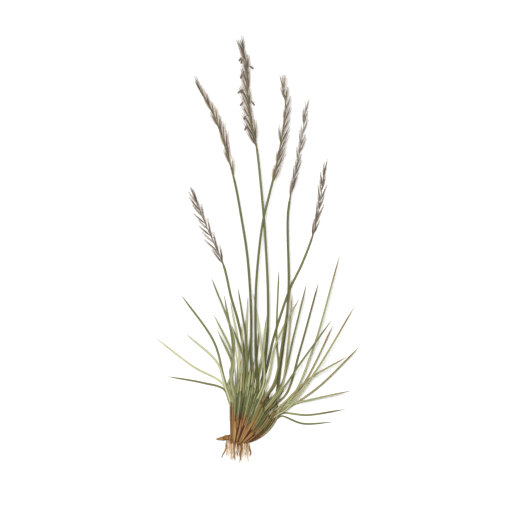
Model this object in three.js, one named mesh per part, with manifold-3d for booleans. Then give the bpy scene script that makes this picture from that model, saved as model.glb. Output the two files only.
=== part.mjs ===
// A bare-root tuft of mat-grass, dug up and laid on a flat surface, in millimetres.
// X runs across the tuft, Y from the roots to the flower spikes, Z up from the surface.
import * as THREE from 'three';
import { mergeVertices } from 'three/addons/utils/BufferGeometryUtils.js';
import Module from 'manifold-3d';

const wasm = await Module();
wasm.setup();

// Driving dimensions
const gap = 0.3; // between pieces that touch
// The sheath mouths lie on an arc, given in degrees
const fan = { x: 2, y: 3, from: 112, to: 26, reach: 22.5, swell: 6 };
// Where the sheaths spring from the crown
const foot = { x: -6, width: 12.5, y: 0.2, squeeze: 0.72, bow: 6.5 };
const leaf = { halfWidth: 0.62, halfThick: 0.4, tip: 0.3, rings: 8, leave: 0.2 };
// Leaves between them: lengths, and how they lean across the fan in degrees
const fill = { short: 24, long: 60, rings: 5, left: -5, right: 31, stray: 9 };
const collar = { length: 3, halfThick: 0.4 }; // the leaf bases of a bunch, grown together
const sheathRib = { width: 2.3, depth: 0.5, steps: 4 };
const sheet = { first: 0.4, near: 1.15, far: 2.7, droop: 0.3 }; // each bunch and culm has its own sheet
const culm = { foot: 0.62, tip: 0.5, sides: 5, step: 11 };
const spikelet = {
  length: 9,
  last: 0.8, // share of the length at the spike's tip
  widest: [0.68, 0.6],
  ends: [0.19, 0.17],
  sunk: 0.3,
  tilt: 0.8,
  rachisRings: 9,
};
const crown = { x: -0.3, y: -0.9, z: 6.2, halfX: 8.4, halfY: 2.9, halfZ: 7.1, top: -0.1, clear: 1.2 };
const seed = 4973;

const colours = {
  rootstock: 0xa9814b,
  sheath: 0xa8743c,
  leaf: 0x87905a,
  culm: 0x7f8048,
  spike: 0x8c7b6e,
};

// The stack of sheets, from the one on the surface to the top one. A bunch gives its layer of
// sheaths, its stretch of the fan (0 left, 1 right) and how many leaves fill it.
const stack = [
  { bunch: 'bunch_1', layer: 0, from: 0, to: 1, fill: 8 },
  { culm: 'culm_6' },
  { bunch: 'bunch_2_left', layer: 1, from: 0, to: 0.5, fill: 6 },
  { culm: 'culm_1' },
  { bunch: 'bunch_2_right', layer: 1, from: 0.5, to: 1, fill: 3 },
  { bunch: 'bunch_3_left', layer: 2, from: 0.01, to: 0.55, fill: 6 },
  { culm: 'culm_2' },
  { culm: 'culm_5' },
  { bunch: 'bunch_3_right', layer: 2, from: 0.55, to: 0.98, fill: 3 },
  { bunch: 'bunch_4_left', layer: 3, from: 0.04, to: 0.48, fill: 6 },
  { culm: 'culm_3' },
  { bunch: 'bunch_4_right', layer: 3, from: 0.48, to: 0.95, fill: 3 },
  { bunch: 'bunch_5_left', layer: 4, from: 0.1, to: 0.52, fill: 6 },
  { culm: 'culm_4' },
  { bunch: 'bunch_5_right', layer: 4, from: 0.52, to: 0.88, fill: 4 },
];

// Leaves that stand out: place in the fan, a point near the middle, and the tip
const leaves = {
  bunch_1: [
    [0.0, -26, 40.6, -51, 45], [0.01, -33, 52, -59, 72], [0.98, 44, 12, 65, 13],
    [0.95, 47, 18, 74, 22], [0.62, 25.5, 75, 27.3, 120],
  ],
  bunch_2_left: [[0.05, -18, 69, -41, 102], [0.12, -5, 64, -11, 102]],
  bunch_2_right: [[0.93, 54, 37.2, 83.4, 66], [0.9, 46, 42.5, 65, 81], [0.78, 41.5, 62, 54.8, 110.7]],
  bunch_3_left: [[0.03, -16, 55, -37.5, 75], [0.2, -0.5, 62, -6.6, 97], [0.3, 4.5, 66, 5.5, 101]],
  bunch_3_right: [
    [0.88, 49, 29, 77.5, 35.5], [0.85, 50, 62, 69.5, 129.5], [0.68, 37.5, 74, 46.4, 110],
    [0.7, 33.5, 67, 36.5, 102],
  ],
  bunch_4_left: [
    [0.14, -4.5, 71, -20, 115], [0.07, -4.7, 51, -15.8, 78], [0.38, 8, 60, 7.5, 88],
    [0.47, 14.6, 68, 9.5, 103],
  ],
  bunch_4_right: [[0.92, 53, 49.5, 79.8, 94.4], [0.84, 48, 43.5, 74.8, 59.5], [0.53, 25, 68, 41.3, 100]],
  bunch_5_left: [[0.12, -4.5, 58, -18.2, 89], [0.26, 3, 56, -5.6, 81], [0.3, 4.6, 68, -1.4, 108]],
  bunch_5_right: [[0.72, 43, 56, 64, 85.5], [0.5, 16.3, 66, 18.5, 87.5], [0.6, 30, 72, 35.8, 113]],
};

// Stems: place in the fan, points up to where the spike starts, then points up to its tip, and the
// spikelets on each side: how many, and how far they lean out in degrees
const stems = {
  culm_1: {
    place: 0.33,
    culm: [[2.8, 63.5], [-1.4, 84], [-6.3, 101], [-11.2, 122]],
    spike: [[-18.9, 140], [-26, 156], [-33, 172.7], [-35, 177.6]],
    left: { count: 9, lean: 27 },
    right: { count: 9, lean: 12 },
  },
  culm_2: {
    place: 0.37,
    culm: [[7.7, 65], [7.7, 93], [5.3, 128], [0.7, 158], [-3.9, 182]],
    spike: [[-10.5, 206], [-18.2, 227], [-28.7, 246], [-31.5, 251.8]],
    left: { count: 3, lean: 10 },
    right: { count: 16, lean: 17 },
  },
  culm_3: {
    place: 0.5,
    culm: [[18.9, 72], [19.6, 100], [17.9, 138], [15.4, 170], [11.9, 203]],
    spike: [[8.1, 222], [5.6, 241], [4.9, 261], [0.2, 280]],
    left: { count: 17, lean: 24 },
    right: { count: 5, lean: 12 },
  },
  culm_4: {
    place: 0.45,
    culm: [[11, 65], [11.2, 107], [15, 147], [20, 170], [24, 186]],
    spike: [[28.3, 207], [31, 226], [31.3, 238], [27.5, 255.3]],
    left: { count: 4, lean: 9 },
    right: { count: 15, lean: 20 },
  },
  culm_5: {
    place: 0.72,
    culm: [[28.5, 55], [32.5, 85], [34, 112], [33.2, 150], [34.5, 167]],
    spike: [[39.3, 190], [43, 210], [45.5, 228], [45.2, 238.8]],
    left: { count: 9, lean: 16 },
    right: { count: 8, lean: 16 },
  },
  culm_6: {
    place: 0.48,
    culm: [[19, 52], [23.8, 73], [34, 104], [43, 123], [50, 141]],
    spike: [[54.5, 158], [57.2, 176], [58.5, 187], [61.3, 197.5]],
    left: { count: 7, lean: 15 },
    right: { count: 7, lean: 15 },
  },
};

// Creeping rootstock, from its growing tip into the crown, and the roots: points, then half widths
const creeping = {
  points: [[-17, 1.3, 2.6], [-13, 1.8, 3], [-9.4, 2.1, 3.4], [-4, 0.6, 4.4]],
  thick: [0.7, 2.6],
};
const roots = [
  { points: [[-9, 0, 3.4], [-10.3, -6, 2.6], [-13, -12.5, 1.4]], half: [0.75, 0.4] },
  { points: [[-9.8, -4, 3], [-9.2, -7, 2.2], [-9.3, -10.5, 1.6]], half: [0.5, 0.35] },
  { points: [[-7, -1, 5], [-6.8, -4, 5], [-6.3, -8, 4]], half: [0.6, 0.35] },
  { points: [[-4, -1.5, 8], [-4.2, -7, 8.6], [-4, -12.7, 7.6]], half: [1, 0.7] },
  { points: [[-1.8, -2, 4], [-2, -6, 3.6], [-1.5, -11.5, 2.4]], half: [0.6, 0.4] },
  { points: [[1, -2, 9], [0.8, -7, 10], [0, -13.2, 9.4]], half: [1, 0.5] },
  { points: [[4, -2, 5], [4.5, -6, 4.4], [3.8, -10, 3]], half: [0.6, 0.4] },
  { points: [[5.6, -1.4, 7], [7.3, -7, 6.6], [6.9, -10.6, 5]], half: [0.7, 0.45] },
];
const scales = { count: 6, lift: 0.3 };
const rootlets = { count: 12, half: 0.34, reach: 8.5, sway: 3, from: -7, to: 5.5, low: 1.6, high: 11 };

// Repeatable draw between 0 and 1
function draws(start) {
  let state = start >>> 0;
  return () => {
    state = (Math.imul(state, 1664525) + 1013904223) >>> 0;
    return state / 4294967296;
  };
}

const smooth = (a, b, x) => {
  const t = Math.min(1, Math.max(0, (x - a) / (b - a)));
  return t * t * (3 - 2 * t);
};
const mix = (a, b, t) => a + (b - a) * t;

// Height of sheet number n at a distance from the middle of the fan: the sheets spread and then sag
function sheetHeight(n, distance) {
  const spread = mix(sheet.near, sheet.far, smooth(26, 105, distance));
  return sheet.first + n * (spread - sheet.droop * smooth(120, 290, distance));
}

// Mouth of the sheath at a place in the fan, moved out by a distance, and the way it points
function mouth(place, out = 0) {
  const angle = THREE.MathUtils.degToRad(mix(fan.from, fan.to, place));
  const reach = fan.reach + fan.swell * Math.sin(Math.PI * (0.1 + 0.7 * place)) + out;
  return new THREE.Vector2(fan.x + reach * Math.cos(angle), fan.y + reach * Math.sin(angle));
}
function mouthDirection(place) {
  return mouth(place, 1).sub(mouth(place)).normalize();
}

// Lays a flat path on its sheet
function onSheet(points, n) {
  return points.map((p) => {
    const distance = Math.hypot(p.x - fan.x, p.y - fan.y);
    return new THREE.Vector3(p.x, p.y, sheetHeight(n, distance));
  });
}

function meshGeometry(positions, index) {
  const geometry = new THREE.BufferGeometry();
  geometry.setAttribute('position', new THREE.Float32BufferAttribute(positions, 3));
  geometry.setIndex(index);
  return geometry;
}

// A section carried along a path, with flat ends. The section is a list of corners in half widths
// across and up, and scale gives the half width and half thickness at each point of the path.
function sweep(path, section, scale) {
  const positions = [];
  const index = [];
  const count = section.length;
  path.forEach((point, i) => {
    const before = path[Math.max(0, i - 1)];
    const after = path[Math.min(path.length - 1, i + 1)];
    const along = after.clone().sub(before).normalize();
    const up = Math.abs(along.z) > 0.9 ? new THREE.Vector3(0, 1, 0) : new THREE.Vector3(0, 0, 1);
    const across = along.clone().cross(up).normalize();
    const lift = across.clone().cross(along);
    const [width, thick] = scale(i / (path.length - 1));
    for (const [a, b] of section) {
      const corner = point.clone().addScaledVector(across, a * width).addScaledVector(lift, b * thick);
      positions.push(corner.x, corner.y, corner.z);
    }
  });
  for (let i = 0; i < path.length - 1; i += 1) {
    for (let k = 0; k < count; k += 1) {
      const a = i * count + k;
      const b = i * count + ((k + 1) % count);
      index.push(a, b + count, b, a, a + count, b + count);
    }
  }
  const last = (path.length - 1) * count;
  for (let k = 1; k < count - 1; k += 1) {
    index.push(0, k, k + 1, last, last + k + 1, last + k);
  }
  return meshGeometry(positions, index);
}

function ring(sides, turn = 0) {
  return Array.from({ length: sides }, (_, k) => {
    const angle = (2 * Math.PI * (k + turn)) / sides;
    return [Math.cos(angle), Math.sin(angle)];
  });
}

const keel = [[-1, -1], [1, -1], [0, 1]]; // a bristle leaf: flat below, keeled above
const bar = [[-1, -1], [1, -1], [1, 1], [-1, 1]];

function toSolid(geometry) {
  const merged = mergeVertices(geometry, 1e-4);
  return new wasm.Manifold(new wasm.Mesh({
    numProp: 3,
    vertProperties: new Float32Array(merged.attributes.position.array),
    triVerts: new Uint32Array(merged.index.array),
  }));
}

function fuse(geometries) {
  return geometries.map(toSolid).reduce((whole, piece) => whole.add(piece));
}

function toGeometry(solid) {
  const mesh = solid.getMesh();
  return meshGeometry(Array.from(mesh.vertProperties), Array.from(mesh.triVerts));
}

function plain(geometry) {
  geometry.deleteAttribute('normal');
  geometry.deleteAttribute('uv');
  return geometry;
}

// A culm stands on the same layer of sheaths as the bunch below it
function layerOf(n) {
  return stack[n].bunch ? stack[n].layer : layerOf(n - 1);
}

// Underside and top of a layer of sheaths at its mouth: it spans the sheets that stand on it
function layerSpan(layer) {
  const numbers = [...stack.keys()].filter((n) => layerOf(n) === layer);
  return [sheetHeight(numbers[0], 0) - sheet.first, sheetHeight(numbers.at(-1), 0) + sheet.first];
}

// Sheaths of one bunch: ribs side by side, each from the crown to its mouth, their faces scalloped
// by a rib for each sheath. The lowest layer is pressed flat where it lies.
function sheaths(entry) {
  const [low, high] = layerSpan(entry.layer);
  const arc = THREE.MathUtils.degToRad(fan.from - fan.to) * (fan.reach + fan.swell / 2);
  const ribs = Math.round(((entry.to - entry.from) * arc) / sheathRib.width);
  const from = entry.from + gap / arc;
  const to = entry.to - gap / arc;
  const across = 2 * ribs + 1;
  const positions = [];
  const point = (t, i, side) => {
    const place = mix(from, to, i / (across - 1));
    const start = new THREE.Vector2(foot.x + foot.width * place, foot.y);
    const end = mouth(place);
    const normal = new THREE.Vector2(end.y - start.y, start.x - end.x).normalize();
    const bend = start.clone().lerp(end, 0.5).addScaledVector(normal, foot.bow * place * place);
    const curve = new THREE.QuadraticBezierCurve(start, bend, end);
    const flat = curve.getPoint(t);
    const squeeze = mix(foot.squeeze, 1, t);
    const groove = i % 2 === 0 ? sheathRib.depth : 0;
    const z = side > 0 ? high - groove : low + (entry.layer > 0 ? groove : 0);
    positions.push(flat.x, flat.y, Math.max(0, z * squeeze));
  };
  for (let j = 0; j <= sheathRib.steps; j += 1) {
    for (let i = 0; i < across; i += 1) point(j / sheathRib.steps, i, 1);
    for (let i = across - 1; i >= 0; i -= 1) point(j / sheathRib.steps, i, -1);
  }
  const count = 2 * across;
  const index = [];
  for (let j = 0; j < sheathRib.steps; j += 1) {
    for (let k = 0; k < count; k += 1) {
      const a = j * count + k;
      const b = j * count + ((k + 1) % count);
      index.push(a, b, b + count, a, b + count, a + count);
    }
  }
  const last = sheathRib.steps * count;
  for (let i = 0; i < across - 1; i += 1) {
    const top = [i, i + 1];
    const below = [count - 1 - i, count - 2 - i];
    index.push(top[0], below[1], top[1], top[0], below[0], below[1]);
    index.push(last + top[0], last + top[1], last + below[1]);
    index.push(last + top[0], last + below[1], last + below[0]);
  }
  return meshGeometry(positions, index);
}

// A leaf leaves its sheath in line, passes its middle point and ends at its tip
function leafPath(place, middle, tip, count) {
  const start = mouth(place, gap + collar.length / 2);
  const reach = start.distanceTo(tip) * leaf.leave * (1 - 0.7 * place ** 4);
  const leave = start.clone().addScaledVector(mouthDirection(place), reach);
  const points = [start, leave, middle, tip].map((p) => new THREE.Vector3(p.x, p.y, 0));
  return new THREE.CatmullRomCurve3(points).getSpacedPoints(count - 1);
}

// Leaves that fill a bunch, drawn at random: they stand steeply and fan out with their place
function fillers(entry, draw) {
  return Array.from({ length: entry.fill }, (_, i) => {
    const place = mix(entry.from, entry.to, (i + 0.15 + 0.7 * draw()) / entry.fill);
    const lean = THREE.MathUtils.degToRad(mix(fill.left, fill.right, place) + fill.stray * (draw() - 0.5));
    const length = mix(fill.short, fill.long, draw()) * (1 - 0.5 * Math.abs(place - 0.4));
    const start = mouth(place);
    const tip = start.clone().add(new THREE.Vector2(length * Math.sin(lean), length * Math.cos(lean)));
    const inLine = start.clone().addScaledVector(mouthDirection(place), length / 2);
    const middle = start.clone().lerp(tip, 0.5).lerp(inLine, 0.3);
    return [place, middle.x, middle.y, tip.x, tip.y];
  });
}

function bunchLeaves(entry, n, draw) {
  const own = leaves[entry.bunch];
  const all = [...own, ...fillers(entry, draw)];
  const pieces = all.map(([place, middleX, middleY, tipX, tipY], i) => {
    const middle = new THREE.Vector2(middleX, middleY);
    const rings = i < own.length ? leaf.rings : fill.rings;
    const path = leafPath(place, middle, new THREE.Vector2(tipX, tipY), rings);
    const taper = (t) => {
      const width = mix(leaf.halfWidth, leaf.tip, t * t);
      return [width, mix(leaf.halfThick, leaf.tip, t * t)];
    };
    return sweep(onSheet(path, n), keel, taper);
  });
  const places = all.map((row) => row[0]);
  const first = Math.min(...places) - 0.015;
  const last = Math.max(...places) + 0.015;
  const steps = Math.ceil((last - first) * 14) + 1;
  const out = gap + collar.length / 2;
  const band = Array.from({ length: steps + 1 }, (_, i) => mouth(mix(first, last, i / steps), out));
  pieces.push(sweep(onSheet(band, n), bar, () => [collar.length / 2, collar.halfThick]));
  return toGeometry(fuse(pieces));
}

// A stem is one curve: the culm is its lower stretch, and the rachis of the spike goes on from it
function stemCurve(stem) {
  const start = mouth(stem.place, gap);
  const traced = [...stem.culm, ...stem.spike].map((p) => new THREE.Vector2(...p));
  return new THREE.SplineCurve([start, mouth(stem.place, 8), ...traced]);
}

function nearestTo(curve, [x, y]) {
  const target = new THREE.Vector2(x, y);
  const samples = 400;
  let best = 0;
  let least = Infinity;
  for (let i = 0; i <= samples; i += 1) {
    const away = curve.getPointAt(i / samples).distanceTo(target);
    if (away < least) [least, best] = [away, i / samples];
  }
  return best;
}

function stretch(curve, from, to, count) {
  return Array.from({ length: count }, (_, i) => curve.getPointAt(mix(from, to, i / (count - 1))));
}

function culmGeometry(stem, n) {
  const curve = stemCurve(stem);
  const end = nearestTo(curve, stem.culm.at(-1));
  const count = Math.round((curve.getLength() * end) / culm.step);
  const path = onSheet(stretch(curve, 0, end, count), n);
  return sweep(path, ring(culm.sides), (t) => {
    const half = mix(culm.foot, culm.tip, t);
    return [half, half];
  });
}

// Spikelets stand in a row on each side of the rachis, tips turned by turns up and down. Each is a
// pointed body, widest a third of the way up.
function spikeGeometry(stem, n) {
  const curve = stemCurve(stem);
  const length = curve.getLength();
  const start = nearestTo(curve, stem.culm.at(-1)) + gap / length;
  const rachis = onSheet(stretch(curve, start, 1, spikelet.rachisRings), n);
  const pieces = [sweep(rachis, bar, (t) => [mix(culm.tip, leaf.tip, t), mix(culm.tip, leaf.tip, t)])];
  for (const [side, { count, lean }] of [[-1, stem.left], [1, stem.right]]) {
    for (let i = 0; i < count; i += 1) {
      const share = (i + (side > 0 ? 0.5 : 0.1)) / count;
      const at = mix(start + 2 / length, 1 - (0.75 * spikelet.length) / length, share);
      const along = curve.getTangentAt(at);
      const out = along.clone().rotateAround(new THREE.Vector2(), THREE.MathUtils.degToRad(-side * lean));
      const base = curve.getPointAt(at).addScaledVector(along, -spikelet.sunk);
      const reach = spikelet.length * mix(1, spikelet.last, share);
      const line = [0, 0.35, 1].map((f) => base.clone().addScaledVector(out, f * reach));
      const path = onSheet(line, n);
      const tilt = i % 2 === 0 ? spikelet.tilt : -spikelet.tilt;
      path[1].z += 0.45 * tilt;
      path[2].z += tilt;
      pieces.push(sweep(path, keel, (f) => (f === 0.5 ? spikelet.widest : spikelet.ends)));
    }
  }
  return toGeometry(fuse(pieces));
}

function spaced(points, count) {
  return new THREE.CatmullRomCurve3(points.map((p) => new THREE.Vector3(...p))).getSpacedPoints(count - 1);
}

// Rootstock: the crown with a flat place under the sheaths and another on the surface, the creeping
// stem with a step for each scale, the roots, and rootlets by a seeded rule
function rootstockGeometry(draw) {
  const lump = plain(new THREE.SphereGeometry(1, 14, 9));
  lump.scale(crown.halfX, crown.halfY, crown.halfZ);
  lump.translate(crown.x, crown.y, crown.z);
  const pieces = [lump];
  const scaly = (t) => {
    const half = mix(creeping.thick[0], creeping.thick[1], Math.sqrt(t));
    const rim = 1 - ((t * scales.count) % 1);
    return [half * (0.8 + scales.lift * rim), half * (0.8 + scales.lift * rim)];
  };
  pieces.push(sweep(spaced(creeping.points, 2 * scales.count + 1), ring(6), scaly));
  for (const { points, half } of roots) {
    const taper = (t) => [mix(half[0], half[1], t), mix(half[0], half[1], t)];
    pieces.push(sweep(spaced(points, 5), ring(4), taper));
  }
  for (let i = 0; i < rootlets.count; i += 1) {
    const x = mix(rootlets.from, rootlets.to, (i + draw()) / rootlets.count);
    const z = mix(rootlets.low, rootlets.high, draw());
    const reach = rootlets.reach * mix(0.7, 1.2, draw());
    const sway = rootlets.sway * (draw() - 0.5);
    const halfWay = [x + sway * 0.6, -2.5 - reach / 2, z * 0.9];
    const points = [[x, -1.6, z], halfWay, [x + sway, -2.6 - reach, z * 0.75]];
    pieces.push(sweep(spaced(points, 4), ring(3), () => [rootlets.half, rootlets.half]));
  }
  const room = 40;
  const block = (x, y, z) => toSolid(plain(new THREE.BoxGeometry(room, room, room)).translate(x, y, z));
  const overCrown = block(0, crown.top + room / 2, 0);
  const overCreeping = block(foot.x - crown.clear - room / 2, 0, 0);
  const underSurface = block(0, 0, -room / 2);
  return toGeometry(fuse(pieces).subtract(overCrown.subtract(overCreeping)).subtract(underSurface));
}

function addPiece(group, name, geometry, colour, roughness) {
  const material = new THREE.MeshStandardMaterial({ color: colour, roughness, metalness: 0 });
  const mesh = new THREE.Mesh(geometry, material);
  mesh.name = name;
  group.add(mesh);
}

const tuft = new THREE.Group();
addPiece(tuft, 'rootstock', rootstockGeometry(draws(seed)), colours.rootstock, 0.85);
stack.forEach((entry, n) => {
  if (entry.bunch) {
    addPiece(tuft, `${entry.bunch}_sheaths`, sheaths(entry), colours.sheath, 0.7);
    addPiece(tuft, `${entry.bunch}_leaves`, bunchLeaves(entry, n, draws(seed + n)), colours.leaf, 0.55);
  } else {
    const stem = stems[entry.culm];
    addPiece(tuft, entry.culm, culmGeometry(stem, n), colours.culm, 0.5);
    addPiece(tuft, entry.culm.replace('culm', 'spike'), spikeGeometry(stem, n), colours.spike, 0.75);
  }
});

// The origin goes to the middle of the underside
const box = new THREE.Box3().setFromObject(tuft);
const middle = box.getCenter(new THREE.Vector3());
tuft.position.set(-middle.x, -middle.y, -box.min.z);
const group = new THREE.Group();
group.add(tuft);

export default group;
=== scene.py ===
# A bare-root tuft of mat-grass, laid on a pale board and seen from straight above.
# Sizes are in millimetres, unless a note says metres, in the tuft's own frame: X across, Y from the
# roots to the spikes, Z up from the board. Vertices go to metres in the row frame when a mesh is made.
import itertools

import bpy
import numpy as np
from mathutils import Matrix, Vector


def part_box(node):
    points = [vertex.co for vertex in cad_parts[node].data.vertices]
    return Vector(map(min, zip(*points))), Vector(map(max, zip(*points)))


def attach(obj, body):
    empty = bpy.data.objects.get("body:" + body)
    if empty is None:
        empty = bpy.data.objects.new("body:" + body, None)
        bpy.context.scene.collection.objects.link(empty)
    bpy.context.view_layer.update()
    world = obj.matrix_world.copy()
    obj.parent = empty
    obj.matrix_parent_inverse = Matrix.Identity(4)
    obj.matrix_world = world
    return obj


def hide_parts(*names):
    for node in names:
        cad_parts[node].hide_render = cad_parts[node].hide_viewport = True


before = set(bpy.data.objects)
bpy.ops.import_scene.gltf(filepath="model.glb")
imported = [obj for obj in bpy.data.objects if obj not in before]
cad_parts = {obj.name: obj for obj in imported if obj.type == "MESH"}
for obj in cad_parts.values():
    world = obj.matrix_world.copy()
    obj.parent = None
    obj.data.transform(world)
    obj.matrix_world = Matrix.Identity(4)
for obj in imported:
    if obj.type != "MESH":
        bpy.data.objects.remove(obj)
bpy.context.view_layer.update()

# How the tuft is laid out, the same in the solid model: the fan of sheath mouths and its angles in
# degrees, the foot of the sheaths, and the sheets that leaves and culms lie on. A place in the fan is
# 0 at its left end and 1 at its right. The gap is what parts a piece from the next.
fan = dict(x=2, y=3, left=112, right=26, reach=22.5, swell=6, swellFrom=0.1, swellOver=0.7)
foot = dict(x=-6, width=12.5, y=0.2, squeeze=0.72, bow=6.5)
sheet = dict(first=0.4, step=(1.15, 2.7, 26, 105), droop=0.3, droops=(120, 290))
gap = 0.3
seed = 4973

# Each piece takes its grain from a stretch of its own, somewhere on this length
grainLength = 400

# The stack of sheets from the lowest up: a bunch with its layer of sheaths, its stretch of the fan
# and how many leaves fill it, or a culm
stack = [
    ("bunch_1", 0, 0, 1, 7),
    ("culm_6",),
    ("bunch_2_left", 1, 0, 0.5, 5),
    ("culm_1",),
    ("bunch_2_right", 1, 0.5, 1, 3),
    ("bunch_3_left", 2, 0.01, 0.55, 5),
    ("culm_2",),
    ("culm_5",),
    ("bunch_3_right", 2, 0.55, 0.98, 3),
    ("bunch_4_left", 3, 0.04, 0.48, 5),
    ("culm_3",),
    ("bunch_4_right", 3, 0.48, 0.95, 3),
    ("bunch_5_left", 4, 0.1, 0.52, 5),
    ("culm_4",),
    ("bunch_5_right", 4, 0.52, 0.88, 4),
]

# Leaves that stand out: place in the fan, a point near the middle, and the tip
leaves = {
    "bunch_1": [
        (0.0, -26, 40.6, -51, 45), (0.01, -33, 52, -59, 72), (0.98, 44, 12, 65, 13),
        (0.95, 47, 18, 74, 22), (0.62, 25.5, 75, 27.3, 120),
    ],
    "bunch_2_left": [(0.05, -18, 69, -41, 102), (0.12, -5, 64, -11, 102)],
    "bunch_2_right": [(0.93, 54, 37.2, 83.4, 66), (0.9, 46, 42.5, 65, 81), (0.78, 41.5, 62, 54.8, 110.7)],
    "bunch_3_left": [(0.03, -16, 55, -37.5, 75), (0.2, -0.5, 62, -6.6, 97), (0.3, 4.5, 66, 5.5, 101)],
    "bunch_3_right": [
        (0.88, 49, 29, 77.5, 35.5), (0.85, 50, 62, 69.5, 129.5), (0.68, 37.5, 74, 46.4, 110),
        (0.7, 33.5, 67, 36.5, 102),
    ],
    "bunch_4_left": [
        (0.14, -4.5, 71, -20, 115), (0.07, -4.7, 51, -15.8, 78), (0.38, 8, 60, 7.5, 88),
        (0.47, 14.6, 68, 9.5, 103),
    ],
    "bunch_4_right": [(0.92, 53, 49.5, 79.8, 94.4), (0.84, 48, 43.5, 74.8, 59.5), (0.53, 25, 68, 41.3, 100)],
    "bunch_5_left": [(0.12, -4.5, 58, -18.2, 89), (0.26, 3, 56, -5.6, 81), (0.3, 4.6, 68, -1.4, 108)],
    "bunch_5_right": [(0.72, 43, 56, 64, 85.5), (0.5, 16.3, 66, 18.5, 87.5), (0.6, 30, 72, 35.8, 113)],
}

# Stems: place in the fan, points up to the spike, points on to its tip, and the spikelets on its left
# and right, how many and how far they lean out in degrees
stems = {
    "culm_1": (
        0.33, [(2.8, 63.5), (-1.4, 84), (-6.3, 101), (-11.2, 122)],
        [(-18.9, 140), (-26, 156), (-33, 172.7), (-35, 177.6)], (9, 27), (9, 12),
    ),
    "culm_2": (
        0.37, [(7.7, 65), (7.7, 93), (5.3, 128), (0.7, 158), (-3.9, 182)],
        [(-10.5, 206), (-18.2, 227), (-28.7, 246), (-31.5, 251.8)], (3, 3), (16, 17),
    ),
    "culm_3": (
        0.5, [(18.9, 72), (19.6, 100), (17.9, 138), (15.4, 170), (11.9, 203)],
        [(8.1, 222), (5.6, 241), (4.9, 261), (0.2, 280)], (16, 25), (8, 3),
    ),
    "culm_4": (
        0.45, [(11, 65), (11.2, 107), (15, 147), (20, 170), (24, 186)],
        [(28.3, 207), (31, 226), (31.3, 238), (27.5, 255.3)], (4, 9), (15, 20),
    ),
    "culm_5": (
        0.72, [(28.5, 55), (32.5, 85), (34, 112), (33.2, 150), (34.5, 167)],
        [(39.3, 190), (43, 210), (45.5, 228), (45.2, 238.8)], (9, 16), (8, 16),
    ),
    "culm_6": (
        0.48, [(19, 52), (23.8, 73), (34, 104), (43, 123), (50, 141)],
        [(54.5, 158), (57.2, 176), (58.5, 187), (61.3, 197.5)], (7, 15), (7, 15),
    ),
}


# Repeatable numbers between 0 and 1, the run that also placed the solid model's leaves
def draws(start):
    state = [start]

    def draw():
        state[0] = (state[0] * 1664525 + 1013904223) % 4294967296
        return state[0] / 4294967296

    return draw


# Goes from a to b in a straight line as t goes from 0 to 1
def mix(a, b, t):
    return a + (b - a) * t


# Eases from 0 at a to 1 at b
def smooth(a, b, x):
    t = np.clip((x - a) / (b - a), 0, 1)
    return t * t * (3 - 2 * t)


# Goes from first to last as x goes from a to b, eased at both ends
def ease(first, last, a, b, x):
    return mix(first, last, smooth(a, b, x))


# Height of sheet number n over flat points: n times a step that grows away from the fan's middle and
# then sags a little
def sheetHeight(n, flat):
    distance = np.hypot(flat[..., 0] - fan["x"], flat[..., 1] - fan["y"])
    step = ease(*sheet["step"], distance)
    return sheet["first"] + n * (step - sheet["droop"] * smooth(*sheet["droops"], distance))


# Flat points set at the height of sheet number n, plus a lift
def onSheet(flat, n, lift=0.0):
    return np.concatenate([flat, (sheetHeight(n, flat) + lift)[..., None]], -1)


# Mouth of the sheath at a place in the fan, moved out by a distance: a point on an arc whose radius
# swells in the middle
def mouth(place, out=0.0):
    place = np.asarray(place, float)
    angle = np.radians(mix(fan["left"], fan["right"], place))
    swell = fan["swell"] * np.sin(np.pi * (fan["swellFrom"] + fan["swellOver"] * place))
    reach = fan["reach"] + swell + out
    return np.stack([fan["x"] + reach * np.cos(angle), fan["y"] + reach * np.sin(angle)], -1)


# Way out of the fan at a mouth: towards the point 1 mm further out
def mouthDirection(place):
    ahead = mouth(place, 1.0) - mouth(place)
    return ahead / np.linalg.norm(ahead, axis=-1, keepdims=True)


# A line through points: on each stretch the cubic with the given slopes at its two ends
def cubics(points, first, second, steps=60):
    t = np.linspace(0, 1, steps, endpoint=False)[:, None]
    a, b, c, d = points[:-1, None], points[1:, None], first[:, None], second[:, None]
    line = a + c * t + (3 * (b - a) - 2 * c - d) * t**2 + (2 * (a - b) + c + d) * t**3
    return np.vstack([line.reshape(-1, points.shape[1]), points[-1:]])


# Catmull-Rom line whose stretches count by the square root of their length (no loops, no overshoot)
def rootSpacedLine(points):
    points = np.asarray(points, float)
    wide = np.vstack([2 * points[0] - points[1], points, 2 * points[-1] - points[-2]])
    step = np.sqrt(np.linalg.norm(np.diff(wide, axis=0), axis=1))[:, None]
    rate = np.diff(wide, axis=0) / step
    slope = rate[:-1] - (wide[2:] - wide[:-2]) / (step[:-1] + step[1:]) + rate[1:]
    return cubics(points, slope[:-1] * step[1:-1], slope[1:] * step[1:-1])


# Catmull-Rom line whose stretches count alike, with its end points doubled
def evenLine(points):
    points = np.asarray(points, float)
    wide = np.vstack([points[:1], points, points[-1:]])
    slope = (wide[2:] - wide[:-2]) / 2
    return cubics(points, slope[:-1], slope[1:])


# Sum of the steps from each point to the next
def lengthOf(line):
    return np.linalg.norm(np.diff(line, axis=0), axis=1).sum()


# Points of a line at shares of its length
def pointsAt(line, share):
    run = np.concatenate([[0], np.cumsum(np.linalg.norm(np.diff(line, axis=0), axis=1))])
    return np.stack([np.interp(np.asarray(share) * run[-1], run, column) for column in line.T], -1)


# Share of a line's length at its point nearest to a target
def shareNear(line, target):
    share = np.linspace(0, 1, 2001)
    return share[np.linalg.norm(pointsAt(line, share) - target, axis=-1).argmin()]


# Each vector over its own length
def unit(vectors):
    return vectors / np.maximum(np.linalg.norm(vectors, axis=-1, keepdims=True), 1e-9)


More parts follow.
